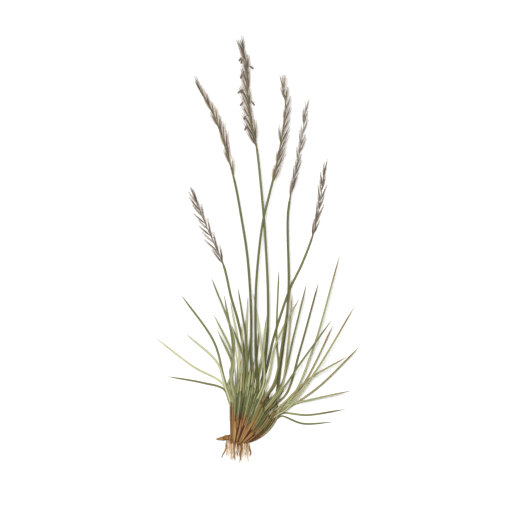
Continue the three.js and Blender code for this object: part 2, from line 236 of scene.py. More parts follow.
# Sets a profile square to a direction at each point: its first number across, its second upwards
def squareTo(points, ahead, profile):
    side = unit(np.cross(unit(ahead), [0.0, 0.0, 1.0]))
    lift = np.cross(side, unit(ahead))
    return points + side * profile[..., :1] + lift * profile[..., 1:]


# Tubes: a profile (tubes, rings, corners, 2) carried along paths (tubes, rings, 3)
def carried(paths, profile):
    return squareTo(paths[..., None, :], np.gradient(paths, axis=-2)[..., None, :], profile)


# A sleeve on a line. Each corner of its rings goes from the start out to its own ragged end, then a
# little way back inside, thinner by the wall, where it is closed. Shares are of the line's length.
def sleeve(line, start, ends, size, shape, rings, back=1.2, wall=0.25):
    length = lengthOf(line)
    out = np.linspace(0, 1, rings)[:, None]
    turned = [ends - 0.2 * back / length, ends - back / length]
    share = np.vstack([start + (ends - start) * out, *turned])
    thin = np.concatenate([np.ones(rings), [1 - wall, 1 - 1.5 * wall]])[:, None]
    wide, thick = size(share)
    profile = np.stack([shape[:, 0] * wide * thin, shape[:, 1] * thick * thin], -1)
    ahead = pointsAt(line, share + 0.003) - pointsAt(line, share - 0.003)
    return squareTo(pointsAt(line, share), ahead, profile), profile, share * length


# Points evenly round a circle with a radius of 1
def ringShape(corners):
    angle = 2 * np.pi * np.arange(corners) / corners
    return np.stack([np.cos(angle), np.sin(angle)], -1)


def addObject(name, data):
    made = bpy.data.objects.new(name, data)
    bpy.context.scene.collection.objects.link(made)
    return made


# Groups of tubes go into one mesh with quads round each tube and both ends closed. Facts are what the
# materials read: tone (0 dark to 1 light), dry (0 green to 1 dead), side (-1 to 1 across) and fibre
# (millimetres across, along and up the grain). Whatever would sink into the board lies flat on it.
def addPiece(name, groups, material, slotName, *nodes):
    places, loops, sizes, first = [], [], [], 0
    facts = dict(tone=[], dry=[], side=[], fibre=[])
    for grid, given in groups:
        tubes, rings, corners = grid.shape[:3]
        number = first + np.arange(tubes * rings * corners).reshape(tubes, rings, corners)
        after = np.roll(number, -1, axis=2)
        quads = np.stack([number[:, :-1], number[:, 1:], after[:, 1:], after[:, :-1]], -1)
        ends = np.concatenate([number[:, 0], number[:, -1, ::-1]])
        loops += [quads.ravel(), ends.ravel()]
        sizes += [np.full(quads.size // 4, 4), np.full(len(ends), corners)]
        places.append(grid.reshape(-1, 3))
        first += grid.size // 3
        for key, rows in facts.items():
            shape = (tubes, rings, corners, 3) if key == "fibre" else (tubes, rings, corners)
            rows.append(np.broadcast_to(given[key], shape).reshape(-1))
    corners = np.concatenate(loops).astype(np.int32)
    sizes = np.concatenate(sizes).astype(np.int32)
    mesh = bpy.data.meshes.new(name)
    mesh.vertices.add(first)
    places = np.concatenate(places)
    places[:, 2] = np.maximum(places[:, 2], 0.01)
    mesh.vertices.foreach_set("co", ((places + toRow) * 0.001).astype(np.float32).ravel())
    mesh.loops.add(len(corners))
    mesh.loops.foreach_set("vertex_index", corners)
    mesh.polygons.add(len(sizes))
    mesh.polygons.foreach_set("loop_start", np.concatenate([[0], np.cumsum(sizes)[:-1]]).astype(np.int32))
    mesh.polygons.foreach_set("use_smooth", np.ones(len(sizes), bool))
    mesh.update(calc_edges=True)
    for key, rows in facts.items():
        kind, field = ("FLOAT_VECTOR", "vector") if key == "fibre" else ("FLOAT", "value")
        layer = mesh.attributes.new(key, kind, "POINT")
        layer.data.foreach_set(field, np.concatenate(rows).astype(np.float32))
    mesh.materials.append(material)
    piece = addObject(name, mesh)
    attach(piece, "root")
    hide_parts(*nodes)


# The facts of plain tubes: the grain runs along each path, and each tube has its own stretch of it.
# Half widths, tone and dry are by ring, or by tube and ring.
def factsOf(paths, profile, half, tone, dry, rng):
    run = np.cumsum(np.linalg.norm(np.diff(paths, axis=1, prepend=paths[:, :1]), axis=-1), axis=1)
    shift = rng.uniform(0, grainLength, len(paths))[:, None, None]
    along = np.broadcast_to(run[..., None] + shift, profile.shape[:3])
    fibre = np.stack([profile[..., 0], along, profile[..., 1]], -1)
    tone, dry, half = (np.asarray(given)[..., None] for given in (tone, dry, half))
    return dict(tone=tone, dry=dry, side=profile[..., 0] / half, fibre=fibre)


# Round tubes along paths, with their facts
def roundTubes(paths, half, corners, tone, dry, rng):
    profile = ringShape(corners) * np.broadcast_to(half, paths.shape[:2])[..., None, None]
    return carried(paths, profile), factsOf(paths, profile, half, tone, dry, rng)


# A sleeve with its facts: the grain runs along it from a stretch of its own
def dressed(grid, profile, run, shift, tone, dry, side=0.0):
    fibre = np.stack([profile[..., 0], run + shift, profile[..., 1]], -1)
    return grid[None], dict(tone=tone, dry=dry, side=side, fibre=fibre)


# The solid model's corner gives the step from the tuft's frame to the row frame
arc = np.radians(fan["left"] - fan["right"]) * (fan["reach"] + fan["swell"] / 2)
lowCorner = np.array(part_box("bunch_1_sheaths")[0]) * 1000
toRow = lowCorner - np.array([mouth(gap / arc)[0], foot["y"], 0.0])
print("frame loaded, step to the row frame", toRow.round(3))


# An sRGB colour code as linear light: a straight line near black and a power of 2.4 above
def toLinear(code):
    value = np.array([int(code[i:i + 2], 16) for i in (1, 3, 5)]) / 255
    linear = np.where(value <= 0.04045, value / 12.92, ((value + 0.055) / 1.055) ** 2.4)
    return (*linear.tolist(), 1.0)


# Adds a node: properties by keyword; inputs by name or number, each a value, a socket to link or a node
# whose first output is linked; and the stops of a colour ramp, a place for each colour
def addNode(tree, kind, inputs=(), stops=(), **properties):
    made = tree.nodes.new("ShaderNode" + kind)
    for name, value in properties.items():
        setattr(made, name, value)
    for name, value in dict(inputs).items():
        if isinstance(value, bpy.types.Node):
            value = value.outputs[0]
        if isinstance(value, bpy.types.NodeSocket):
            tree.links.new(value, made.inputs[name])
        else:
            made.inputs[name].default_value = value
    for i, (position, colour) in enumerate(dict(stops).items()):
        elements = made.color_ramp.elements
        stop = elements[i] if i < 2 else elements.new(position)
        stop.position, stop.color = position, toLinear(colour)
    return made


def newMaterial(name):
    material = bpy.data.materials.new(name)
    material.use_nodes = True
    material.node_tree.nodes.clear()
    return material, material.node_tree


# What all the plant's skins share: how patchy the change from green to dead is and where it happens,
# the detail of the streaks, the height of the relief in metres, and how much the gloss varies
grain = dict(
    patchy=0.9, turn=(0.25, 0.75), detail=3.0, rough=0.6, streakRelief=1.5, height=0.00006, glossSpread=0.1,
    ior=1.45,
)


# A plant's skin, green or dead, with its grain along the piece. Fresh and dead colours each follow
# the tone and long streaks; dry chooses between them; towards the flanks the colour turns to a margin
# colour, which is painted shade on the flanks where it is darker than the skin, and on the husks their
# own pale straw margins; fine ribs lie along the grain as bump and as painted shade, a darker colour
# in their grooves. In a look, streak gives the width and length in millimetres and the depth; the margin
# and its painted flank shade where it begins, how strong it is and its colour; rib the distance in
# millimetres, the painted shade and the colour painted in the grooves.
def plantSkin(name, **look):
    material, tree = newMaterial(name)
    tone, dry, side, fibre = (
        addNode(tree, "Attribute", attribute_name=key).outputs["Vector" if key == "fibre" else "Fac"]
        for key in ("tone", "dry", "side", "fibre")
    )
    wide, long, depth = look["streak"]
    marginFrom, marginMost, marginColour = look["margin"]
    ribStep, ribShade, paintedGrooveShade = look["rib"]
    stretched = addNode(tree, "Mapping", {"Vector": fibre, "Scale": (1 / wide, 1 / long, 1 / wide)})
    streak = addNode(tree, "TexNoise", {
        "Vector": stretched, "Scale": 1.0, "Detail": grain["detail"], "Roughness": grain["rough"],
    })
    offCentre = addNode(tree, "Math", {0: streak, 1: 0.5}, operation="SUBTRACT")
    toned = addNode(tree, "Math", {0: offCentre, 1: depth, 2: tone}, operation="MULTIPLY_ADD")
    fresh, dead = (addNode(tree, "ValToRGB", {0: toned}, stops=look[key]) for key in ("fresh", "dead"))
    patchy = addNode(tree, "Math", {0: offCentre, 1: grain["patchy"], 2: dry}, operation="MULTIPLY_ADD")
    turnFrom, turnTo = grain["turn"]
    howDry = addNode(tree, "MapRange", {
        "Value": patchy, "From Min": turnFrom, "From Max": turnTo,
    }, interpolation_type="SMOOTHSTEP")
    colour = addNode(tree, "Mix", {0: howDry, 6: fresh, 7: dead}, data_type="RGBA").outputs[2]
    aside = addNode(tree, "Math", {0: side}, operation="ABSOLUTE")
    # Painted shade on the flanks: towards both sides of a piece the colour turns to the margin colour, darker
    # than the skin except on the husks, whose pale straw margins are their own colour
    margin = addNode(tree, "MapRange", {
        "Value": aside, "From Min": marginFrom, "To Max": marginMost,
    }, interpolation_type="SMOOTHSTEP")
    edged = addNode(tree, "Mix", {
        0: margin, 6: colour, 7: toLinear(marginColour),
    }, data_type="RGBA").outputs[2]
    # Painted shade in the grooves: between the ribs the colour turns towards the darker groove colour, on top
    # of the bump that shapes them
    across = addNode(tree, "SeparateXYZ", {0: fibre})
    turns = addNode(tree, "Math", {0: across, 1: 2 * np.pi / ribStep}, operation="MULTIPLY")
    ribs = addNode(tree, "Math", {0: turns}, operation="COSINE")
    shade = addNode(tree, "MapRange", {"Value": ribs, "From Min": -1.0, "To Min": ribShade, "To Max": 0.0})
    shaded = addNode(tree, "Mix", {
        0: shade, 6: edged, 7: toLinear(paintedGrooveShade),
    }, data_type="RGBA").outputs[2]
    relief = addNode(tree, "Math", {0: streak, 1: grain["streakRelief"], 2: ribs}, operation="MULTIPLY_ADD")
    bump = addNode(tree, "Bump", {"Height": relief, "Strength": look["bump"], "Distance": grain["height"]})
    gloss = addNode(tree, "MapRange", {
        "Value": streak, "To Min": look["roughness"] - grain["glossSpread"],
        "To Max": look["roughness"] + grain["glossSpread"],
    })
    skin = addNode(tree, "BsdfPrincipled", {
        "Base Color": shaded, "Roughness": gloss, "Normal": bump, "IOR": grain["ior"],
        "Specular IOR Level": look["specular"],
    })
    addNode(tree, "OutputMaterial", {0: skin})
    return material

# In the skins below, the rib's groove colour is painted shade, and so is a margin colour darker than the
# skin; the husks' pale margin colour is their own

# Bristle blade of a wiry grass: a waxy, finely ribbed skin with a soft sheen, its ribs 0.3 mm apart
bladeSkin = plantSkin(
    "Grass blade, waxy cuticle",
    fresh={0: "#686c41", 0.3: "#949765", 0.6: "#b8ba8b", 1: "#dfe1bb"},
    dead={0: "#5c4226", 0.4: "#8c6a41", 0.75: "#b08f5d", 1: "#dbbe8a"},
    streak=(0.5, 14.0, 0.7), margin=(0.5, 0.55, "#63673e"),
    rib=(0.3, 0.2, "#5b6033"), bump=0.5, roughness=0.55, specular=0.25,
)

# Young sheaths: green, smooth and a little waxy, browning from the foot up
youngSkin = plantSkin(
    "Grass sheath, young and green",
    fresh={0: "#525831", 0.35: "#6c7247", 0.7: "#838959", 1: "#a1a678"},
    dead={0: "#492b17", 0.35: "#7c4e21", 0.6: "#986a37", 1: "#c1975c"},
    streak=(0.35, 12.0, 0.9), margin=(0.6, 0.45, "#4f4a28"),
    rib=(0.4, 0.2, "#544f2c"), bump=0.6, roughness=0.55, specular=0.35,
)

# Old sheaths: dead grass fibre, dry and matt, split into ribs 0.4 mm apart
sheathSkin = plantSkin(
    "Grass sheath, dry fibre",
    fresh={0: "#4b4e2a", 0.35: "#64673c", 0.7: "#807e4b", 1: "#aaa271"},
    dead={0: "#402613", 0.28: "#6e4222", 0.45: "#8f5b46", 0.6: "#9f6d37", 0.8: "#b38850", 1: "#d3b280"},
    streak=(0.4, 9.0, 1.0), margin=(0.45, 0.9, "#472d18"),
    rib=(0.4, 0.3, "#5e3d22"), bump=0.9, roughness=0.7, specular=0.25,
)

# Corky rootstock under papery scales: dull, warm and blotched
corkSkin = plantSkin(
    "Rootstock, corky bark",
    fresh={0: "#5c3d20", 0.5: "#8d6837", 1: "#b59359"},
    dead={0: "#372313", 0.4: "#6c4829", 0.7: "#997143", 1: "#be9766"},
    streak=(0.5, 4.0, 1.7), margin=(0.7, 0.3, "#56371d"),
    rib=(0.6, 0.25, "#624223"), bump=1.0, roughness=0.8, specular=0.2,
)

# Root bark: thin, wrinkled and mauve-brown; young roots are cream and almost smooth
rootSkin = plantSkin(
    "Root, thin bark",
    fresh={0: "#e6b37b", 0.5: "#f5d29e", 1: "#f5e5bb"},
    dead={0: "#573625", 0.4: "#865e45", 0.75: "#aa8262", 1: "#d4ab83"},
    streak=(0.35, 2.5, 0.9), margin=(0.7, 0.4, "#bf8e65"),
    rib=(0.35, 0.12, "#5d412f"), bump=0.8, roughness=0.75, specular=0.2,
)

# Culm: a hard, smooth stalk, glossier than the blades, with ribs 0.25 mm apart
culmSkin = plantSkin(
    "Grass culm, hard and smooth",
    fresh={0: "#3a3c1b", 0.4: "#505228", 0.75: "#64663a", 1: "#808056"},
    dead={0: "#5d4829", 0.5: "#887143", 1: "#b19969"},
    streak=(0.4, 25.0, 0.5), margin=(0.5, 0.6, "#3a3c1b"),
    rib=(0.25, 0.12, "#3f411e"), bump=0.3, roughness=0.5, specular=0.25,
)

# Husks of the spikelets: stiff and papery, grey-mauve with straw margins and a green nerve
huskSkin = plantSkin(
    "Spikelet husk, papery",
    fresh={0: "#49492c", 0.5: "#727044", 1: "#a09b65"},
    dead={0: "#493d38", 0.35: "#7a6c67", 0.65: "#a89a90", 1: "#dbcfbd"},
    streak=(0.25, 5.0, 0.9), margin=(0.7, 0.5, "#cfc3ab"),
    rib=(0.36, 0.3, "#564942"), bump=0.6, roughness=0.6, specular=0.3,
)

# Anthers: dry pollen sacs, grey-violet and powdery, on pale threads
antherSkin = plantSkin(
    "Anther, dry and powdery",
    fresh={0: "#c1b597", 1: "#e4dbc6"},
    dead={0: "#4e4038", 0.5: "#706057", 1: "#918174"},
    streak=(0.2, 1.0, 0.8), margin=(0.6, 0.3, "#5f4e46"),
    rib=(0.3, 0.2, "#51443b"), bump=0.6, roughness=0.8, specular=0.2,
)
print("materials made")


# Sheaths: t runs along them from back, inside the crown, over 0 at the foot and 1 at the mouth to past.
# Most pairs are ranges to draw from. Those named over, dips, pairsTo and youngEdge are where a change
# begins and ends; browned, oliveFrom and olive hold a value for the left and one for the right of the
# fan, which change over between the two places of turn; low is a step in X and Y. Four numbers go from
# the first to the second between the other two.
sheaths = dict(
    width=1.55, thick=1.5, overlap=1.22, uneven=[0.85, 1.1], stray=0.1, lift=0.12, rings=28, corners=12,
    back=-0.09, past=1.35, farthest=1.33, torn=0.05, low=[1.6, 1.7], leftOut=0.7, dip=0.4,
    dips=[0.03, -0.12], leftEnd=[0.4, 0.74], rightEnd=[0.26, 0.56], longEnd=[0.85, 1.2],
    longShare=[0.12, 0.2, 0.4, 0.6], leftmost=0.09, rightmost=0.92, outerEnd=[0.84, 1.0], youngFrom=0.15,
    youngEnd=[1.0, 1.3], youngRightEnd=0.84, youngDry=[0.2, 0.42, 0.4, 0.6], browned=[0.78, 0.52],
    brownOver=0.35, oliveFrom=[0.5, 0.26], olive=[0.4, 0.6], oliveOver=0.3, light=[0.55, 0.9],
    dark=[-0.04, 0.26], pairsTo=[0.25, 0.55], turn=[0.25, 0.6], leftOver=[0.15, 0], youngOver=[0.5, 0.7],
    youngEdge=[0.97, 0.9], footWidth=0.42, narrowOver=[0.9, 1.3], thinOver=[0.7, 1.3], startThin=0.45,
    startOver=0.1, brownStray=0.12, brownedStray=0.1, longOlive=0.1, lightFrom=0.12, upDarker=0.1,
    upOver=[0.3, 0.6], rightDarker=0.12, rightOver=[0.45, 0.7], edgeLighter=0.2, edgeOver=[0.85, 0.95],
    leftLeast=0.45, leastOver=[0.08, 0.04],
    dead=dict(wide=1.0, narrows=0.0, thick=1.0, thins=0.2, torn=1.0),
    young=dict(wide=0.8, narrows=0.55, thick=0.82, thins=0.5, torn=0.5),
)

# Strips on the sheaths: half widths, where they begin and end beside the sheath's own end, how they fray,
# and how much greener they are further up
strip = dict(
    half=[0.17, 0.3], rings=26, begin=[0.0, 0.08], late=0.34, reach=[0.8, 1.3], sunk=0.05, shortest=0.2,
    farthest=1.25, finest=0.05, aside=0.25, tone=[0.75, 1.0], footWidth=0.6, fray=[1.06, 0.8], corners=8,
    greener=0.5, greenOver=[0.4, 0.85],
)


# Start, bend and end of the curve a sheath follows at a place in the fan
def sheathCurve(place):
    start = np.array([foot["x"] + foot["width"] * place, foot["y"]]) - np.array(sheaths["low"]) * place**2
    start[0] -= sheaths["leftOut"] * smooth(*sheaths["leftOver"], place)
    end = mouth(place)
    normal = unit(np.array([end[1] - start[1], start[0] - end[0]]))
    return start, mix(start, end, 0.5) + normal * foot["bow"] * place**2, end


# Line of a sheath at a place in the fan: the curve (1-t)(1-t) start + 2t(1-t) bend + t t end, and its
# height grows with t from the squeezed foot
def sheathLine(place, height):
    t = np.linspace(sheaths["back"], sheaths["past"], 80)[:, None]
    start, bend, end = sheathCurve(place)
    flat = (1 - t) ** 2 * start + 2 * t * (1 - t) * bend + t**2 * end
    squeeze = mix(foot["squeeze"], 1, np.clip(t, sheaths["back"], 1))
    return np.hstack([flat, height * (squeeze * (1 - sheaths["dip"] * smooth(*sheaths["dips"], t)))])


# Underside and top of a layer of sheaths at its mouths: it spans the sheets that stand on it
def layerSpan(layer):
    layerOf = []
    for entry in stack:
        layerOf.append(entry[1] if len(entry) > 1 else layerOf[-1])
    numbers = [n for n, each in enumerate(layerOf) if each == layer]
    low, high = (sheet["first"] + n * sheet["step"][0] for n in (numbers[0], numbers[-1]))
    return low - sheet["first"], high + sheet["first"]


# Where a sheath ends, and whether it is a long one. Dead ones are short, but for a few and for those at
# the sides of the fan. Young ones go past the mouth, except on the right.
def sheathEnd(where, dead, rng):
    longShare = ease(*sheaths["longShare"], where)
    lengthy = rng.random() < longShare or where < sheaths["leftmost"]
    left, right = rng.uniform(*sheaths["leftEnd"]), rng.uniform(*sheaths["rightEnd"])
    stop = rng.uniform(*sheaths["longEnd"]) if lengthy else ease(left, right, *sheaths["turn"], where)
    if where < sheaths["leftmost"] or where > sheaths["rightmost"]:
        stop = rng.uniform(*sheaths["outerEnd"])
    if not dead:
        inner = smooth(*sheaths["youngOver"], where) * smooth(*sheaths["youngEdge"], where)
        stop = mix(rng.uniform(*sheaths["youngEnd"]), sheaths["youngRightEnd"], inner)
    return stop, lengthy


# Half width and half thickness of a sheath at t: both grow from the foot to the mouth, shrink towards
# a free end, and start thin inside the crown
def sheathSize(t, broad, tall, kind):
    grown = np.clip(t, 0, 1)
    wide = broad * mix(sheaths["footWidth"], 1, grown) * kind["wide"]
    wide = wide * (1 - kind["narrows"] * smooth(*sheaths["narrowOver"], t))
    thick = tall * 0.5 * mix(foot["squeeze"], 1, grown) * kind["thick"]
    thick = thick * (1 - kind["thins"] * smooth(*sheaths["thinOver"], t))
    start = sheaths["back"]
    return wide, thick * ease(sheaths["startThin"], 1, start, start + sheaths["startOver"], t)


# Colours of a sheath along t. Young ones are brown up from the foot, and dead ones turn olive towards
# the mouth. Ribs are light and dark in pairs at the foot and one by one further up, where long ones
# are light; all are darker towards the right, but light at the edge.
def sheathColours(t, where, lengthy, dead, i, row, rng):
    right = smooth(*sheaths["turn"], where)
    stray, brownedStray = sheaths["brownStray"], sheaths["brownedStray"]
    brown = ease(*sheaths["youngDry"], where) + rng.uniform(-stray, stray)
    if dead:
        olive = mix(*sheaths["oliveFrom"], right) + (sheaths["longOlive"] if lengthy else 0.0)
        dry = 1 - mix(*sheaths["olive"], right) * smooth(olive, olive + sheaths["oliveOver"], t)
    else:
        browned = mix(*sheaths["browned"], right) + rng.uniform(-brownedStray, brownedStray)
        dry = ease(brown, 1.0, browned, browned - sheaths["brownOver"], t)
    bright, dull = rng.uniform(*sheaths["light"]), rng.uniform(*sheaths["dark"])
    low = bright if (i // 2 + row) % 2 else dull
    high = bright if (i + row) % 2 or (lengthy and where > sheaths["lightFrom"]) else dull
    tone = ease(low, high, *sheaths["pairsTo"], t)
    tone = tone - sheaths["upDarker"] * smooth(*sheaths["upOver"], t)
    tone = tone - sheaths["rightDarker"] * smooth(*sheaths["rightOver"], where)
    tone = tone + sheaths["edgeLighter"] * smooth(*sheaths["edgeOver"], where)
    least = sheaths["leftLeast"] * smooth(*sheaths["leastOver"], where)
    return np.maximum(tone, least), dry, low == bright


# Sheaths of one bunch, each a flattened sleeve with a torn end. Green ones lie inside, dead ones over
# them, in one row or two by the thickness of the layer.
def bunchSheaths(n):
    name, layer, start, end = stack[n][:4]
    rng = np.random.default_rng(seed + 50 + n)
    bottom, top = layerSpan(layer)
    rows = max(1, round((top - bottom) / sheaths["thick"] - 0.4))
    tall = (top - bottom) / rows
    count = round((end - start) * arc / sheaths["width"])
    first, last = start + gap / arc, end - gap / arc
    shape = ringShape(sheaths["corners"])
    t0, span = sheaths["back"], sheaths["past"] - sheaths["back"]
    groups, young, strips = [], [], []
    for row, i, dead in itertools.product(range(rows), range(count), (False, True)):
        kind = sheaths["dead" if dead else "young"]
        place = mix(first, last, (i + 0.5) / count)
        where = float(np.clip(place + rng.normal(0, sheaths["stray"]) / count, first, last))
        line = sheathLine(where, bottom + tall * (row + 0.5) + (sheaths["lift"] if i % 2 and dead else 0.0))
        stop, lengthy = sheathEnd(where, dead, rng)
        rough = sheaths["torn"]
        torn = rng.uniform(-rough, rough, len(shape)) + rough * np.sin(shape[:, 0] * 3 + rng.uniform(0, 6))
        ends = (np.clip(stop + torn * kind["torn"], 0, sheaths["farthest"]) - t0) / span
        begin = 0.0 if dead else (sheaths["youngFrom"] - t0) / span
        broad = sheaths["width"] * sheaths["overlap"] / 2 * rng.uniform(*sheaths["uneven"])

        def size(share, broad=broad, kind=kind):
            return sheathSize(share * span + t0, broad, tall, kind)

        grid, profile, run = sleeve(line, begin, ends, size, shape, sheaths["rings"])
        shift = rng.uniform(0, grainLength)
        t = run / lengthOf(line) * span + t0
        tone, dry, pale = sheathColours(t, where, lengthy, dead, i, row, rng)
        side = profile[..., 0] / np.maximum(np.abs(profile[..., 0]).max(-1, keepdims=True), 1e-6)
        (groups if dead else young).append(dressed(grid, profile, run, shift, tone, dry, side))
        if dead and row == rows - 1:
            aside = rng.uniform(-strip["aside"], strip["aside"]) * sheaths["width"] / arc
            strips.append((where + aside, stop, pale))
    groups.append(stripTubes(np.array(strips), top, rng))
    addPiece(f"{name}_husks", groups, sheathSkin, "sheath", f"{name}_sheaths")
    addPiece(f"{name}_young", young, youngSkin, "sheath", f"{name}_sheaths")


# Pale raised strips on the crests of the top row of sheaths: thin round tubes whose half width
# narrows to a frayed end a little short of the sheath's own end or past it
def stripTubes(strips, top, rng):
    share = np.linspace(0, 1, strip["rings"])
    t0, span = sheaths["back"], sheaths["past"] - sheaths["back"]
    stops = np.minimum(strips[:, 1] * rng.uniform(*strip["reach"], len(strips)), strip["farthest"])
    begins = np.where(strips[:, 2] > 0, 0, strip["late"]) + rng.uniform(*strip["begin"], len(strips))
    stops = np.maximum(stops, begins + strip["shortest"])
    t = mix(begins[:, None], stops[:, None], share)
    lines = [sheathLine(place, top - strip["sunk"]) for place in strips[:, 0]]
    paths = np.stack([pointsAt(line, (each - t0) / span) for line, each in zip(lines, t)])
    half = rng.uniform(*strip["half"], (len(strips), 1)) * mix(strip["footWidth"], 1, np.clip(t, 0, 1))
    half = np.maximum(half * smooth(*strip["fray"], share), strip["finest"])
    tone = rng.uniform(*strip["tone"], (len(strips), 1))
    dry = 1 - strip["greener"] * smooth(*strip["greenOver"], t)
    return roundTubes(paths, half, strip["corners"], tone, dry, rng)


# Profile of a bristle blade, in half widths and half thicknesses: flat below, keeled above, with the
# two flanks a little hollow
bladeShape = np.array([
    (-0.55, -0.85), (0.0, -0.7), (0.55, -0.85), (1.0, -0.6), (0.9, -0.15), (0.42, 0.35),
    (0.12, 0.95), (-0.12, 0.95), (-0.42, 0.35), (-0.9, -0.15), (-1.0, -0.6),
])

# Blades: their section and where it changes along the free part, how they leave their sheath, their
# tones, and how much of the tip is dead. On the right they are darker, thinner and drier at the tip.
blade = dict(
    halfWidth=0.84, halfThick=0.48, uneven=[0.88, 1.02], tipWidth=0.5, tipThick=0.16, taper=3, point=11,
    pointed=0.88, neck=[0.84, 1, 0.02, 0.25], roll=0.35, rolls=[2, 7], rings=64, leave=0.2, rightLeave=0.7,
    collar=1.8, seat=0.3, inset=14.0, sunk=0.35, sunkOver=5, lowest=0.46, tones=[0.12, 0.3, 0.62, 0.78],
    toneStray=0.1, lighter=0.1, darker=0.17, darkOver=[0.1, 0.5], right=[0.5, 0.75], rightDarker=0.22,
    rightThinner=0.1, dryTip=[0.12, 0.32, 0.75, 0.9], dryUneven=[0.6, 1.2], dead=0.06, allDry=3.0,
    aged=[0.0, 0.0, 0.2, 0.3, 0.48], agedLeft=0.34, leftmost=0.08,
)

# Leaves that fill the fan: lengths, leans in degrees at its left and right end, how they leave their
# sheath, their share of a blade's width, and how far most are cut back. A share of those in whole
# stay uncut.
fill = dict(
    short=24, long=60, left=-9, right=31, stray=9, leave=0.12, pull=0.42, follow=0.65, straight=[0.2, 0.45],
    width=[0.58, 0.4, 0.45, 0.7], cut=[0.42, 0.72], cutRight=[1, 0.5, 0.5, 0.65],
    cutLeft=[1, 0.8, 0.16, 0.06], whole=[0.08, 0.42], wholeShare=0.4, room=[0.15, 0.7], longestAt=0.4,
    shorter=0.5,
)

# Finer leaves between them
fine = dict(
    perArc=0.28, short=12, long=36, left=-2, stray=12, halfWidth=[0.3, 0.5], lift=0.2, rings=36,
    starts=[0.08, 0.2], ends=[0.6, 0.4], dead=0.12, dryTip=[0.05, 0.3], tone=[0.1, 0.85], mostlyShort=1.2,
    longestAt=0.33, shorter=0.9,
)


# Flat line of a leaf: it leaves its sheath along a direction, passes its middle point, ends at its tip
def leafLine(place, along, leave, middle, tip):
    start = mouth(place, gap + blade["collar"] - blade["seat"])
    reach = np.linalg.norm(np.subtract(tip, start)) * leave * (1 - blade["rightLeave"] * place**4)
    line = rootSpacedLine([start, start + along * reach, middle, tip])
    inside = start - along * np.linspace(blade["inset"], 0, 12, endpoint=False)[:, None]
    return np.vstack([inside, line])


# A filling leaf: as long and as far over as drawn. On the left it leaves straight on from its sheath.
# The shorter it is, the more it keeps that direction; its middle is half pulled towards it.
def fillLine(place, lean, length):
    bend, start = sheathCurve(place)[1:]
    along = unit(mix(unit(start - bend), mouthDirection(place), smooth(*fill["straight"], place)))
    follow = fill["follow"] * smooth(fill["long"], fill["short"] / 2, length)
    lean = mix(np.radians(lean), np.arctan2(along[0], along[1]), follow)
    tip = start + length * np.array([np.sin(lean), np.cos(lean)])
    middle = mix(mix(start, tip, 0.5), start + along * length / 2, fill["pull"])
    return leafLine(place, along, fill["leave"], middle, tip)


# Blades on their sheet. Half width falls with the third power of the way along, and to a fine point on
# the last stretch; it is a little less at the sheath. Half thickness falls with the square. The
# profile rolls a little from side to side. The last stretch is dead, an aged blade half dead all along.
def bladeTubes(lines, n, halfWidths, dryTips, aged, tones, rings, rng, lift=0.0):
    share = np.linspace(0, 1, rings)
    paths = np.stack([onSheet(pointsAt(line, share), n) for line in lines])
    paths[..., 2] += lift * rng.uniform(-1, 1, (len(lines), 1))
    length = np.array([lengthOf(line) for line in lines])[:, None]
    inside = np.clip(blade["inset"] - share * length, 0, None)
    paths[..., 2] *= 1 - (1 - foot["squeeze"]) * inside / fan["reach"]
    sunk = blade["sunk"] * smooth(0, blade["sunkOver"], inside)
    paths[..., 2] = np.maximum(paths[..., 2] - sunk, blade["lowest"])
    free = np.clip((share * length - blade["inset"]) / (length - blade["inset"]), 0, 1)
    half = halfWidths[:, None]
    neck = ease(*blade["neck"], free)
    tapered = np.clip(1 - (1 - free) * (length - blade["inset"]) / blade["point"], 0, 1)
    wide = mix(half, blade["tipWidth"], free**blade["taper"]) * neck * (1 - blade["pointed"] * tapered**1.6)
    thick = mix(half * blade["halfThick"] / blade["halfWidth"], blade["tipThick"], free**2)
    turns, begin = rng.uniform(*blade["rolls"], half.shape), rng.uniform(0, 6, half.shape)
    roll = blade["roll"] * np.sin(free * turns + begin)
    flat = bladeShape * np.stack([wide, thick], -1)[:, :, None, :]
    cos, sin = np.cos(roll)[..., None], np.sin(roll)[..., None]
    profile = np.stack([flat[..., 0] * cos - flat[..., 1] * sin, flat[..., 0] * sin + flat[..., 1] * cos], -1)
    dry = np.maximum(smooth(1 - dryTips[:, None] * 1.3, 1.0, share), aged[:, None])
    tone = tones[:, None] + blade["lighter"] - blade["darker"] * smooth(*blade["darkOver"], free)
    return carried(paths, profile), factsOf(paths, flat, wide, tone, dry, rng)


# Lines and places of the leaves of a bunch that stand out, then of those that fill it
def bunchLines(n, rng):
    name, _, start, end, count = stack[n]
    draw = draws(seed + n)
    places = [row[0] for row in leaves[name]]
    lines = [
        leafLine(place, mouthDirection(place), blade["leave"], (mx, my), (tx, ty))
        for place, mx, my, tx, ty in leaves[name]
    ]
    for i in range(count):
        place = mix(start, end, (i + fill["room"][0] + fill["room"][1] * draw()) / count)
        lean = mix(fill["left"], fill["right"], place) + fill["stray"] * (draw() - 0.5)
        length = mix(fill["short"], fill["long"], draw())
        length *= 1 - fill["shorter"] * abs(place - fill["longestAt"])
        whole = fill["whole"][0] < place < fill["whole"][1] and rng.random() < fill["wholeShare"]
        if not whole:
            length *= rng.uniform(*fill["cut"]) * ease(*fill["cutRight"], place)
            length *= ease(*fill["cutLeft"], place)
        lines.append(fillLine(place, lean, length))
        places.append(place)
    return lines, np.array(places)


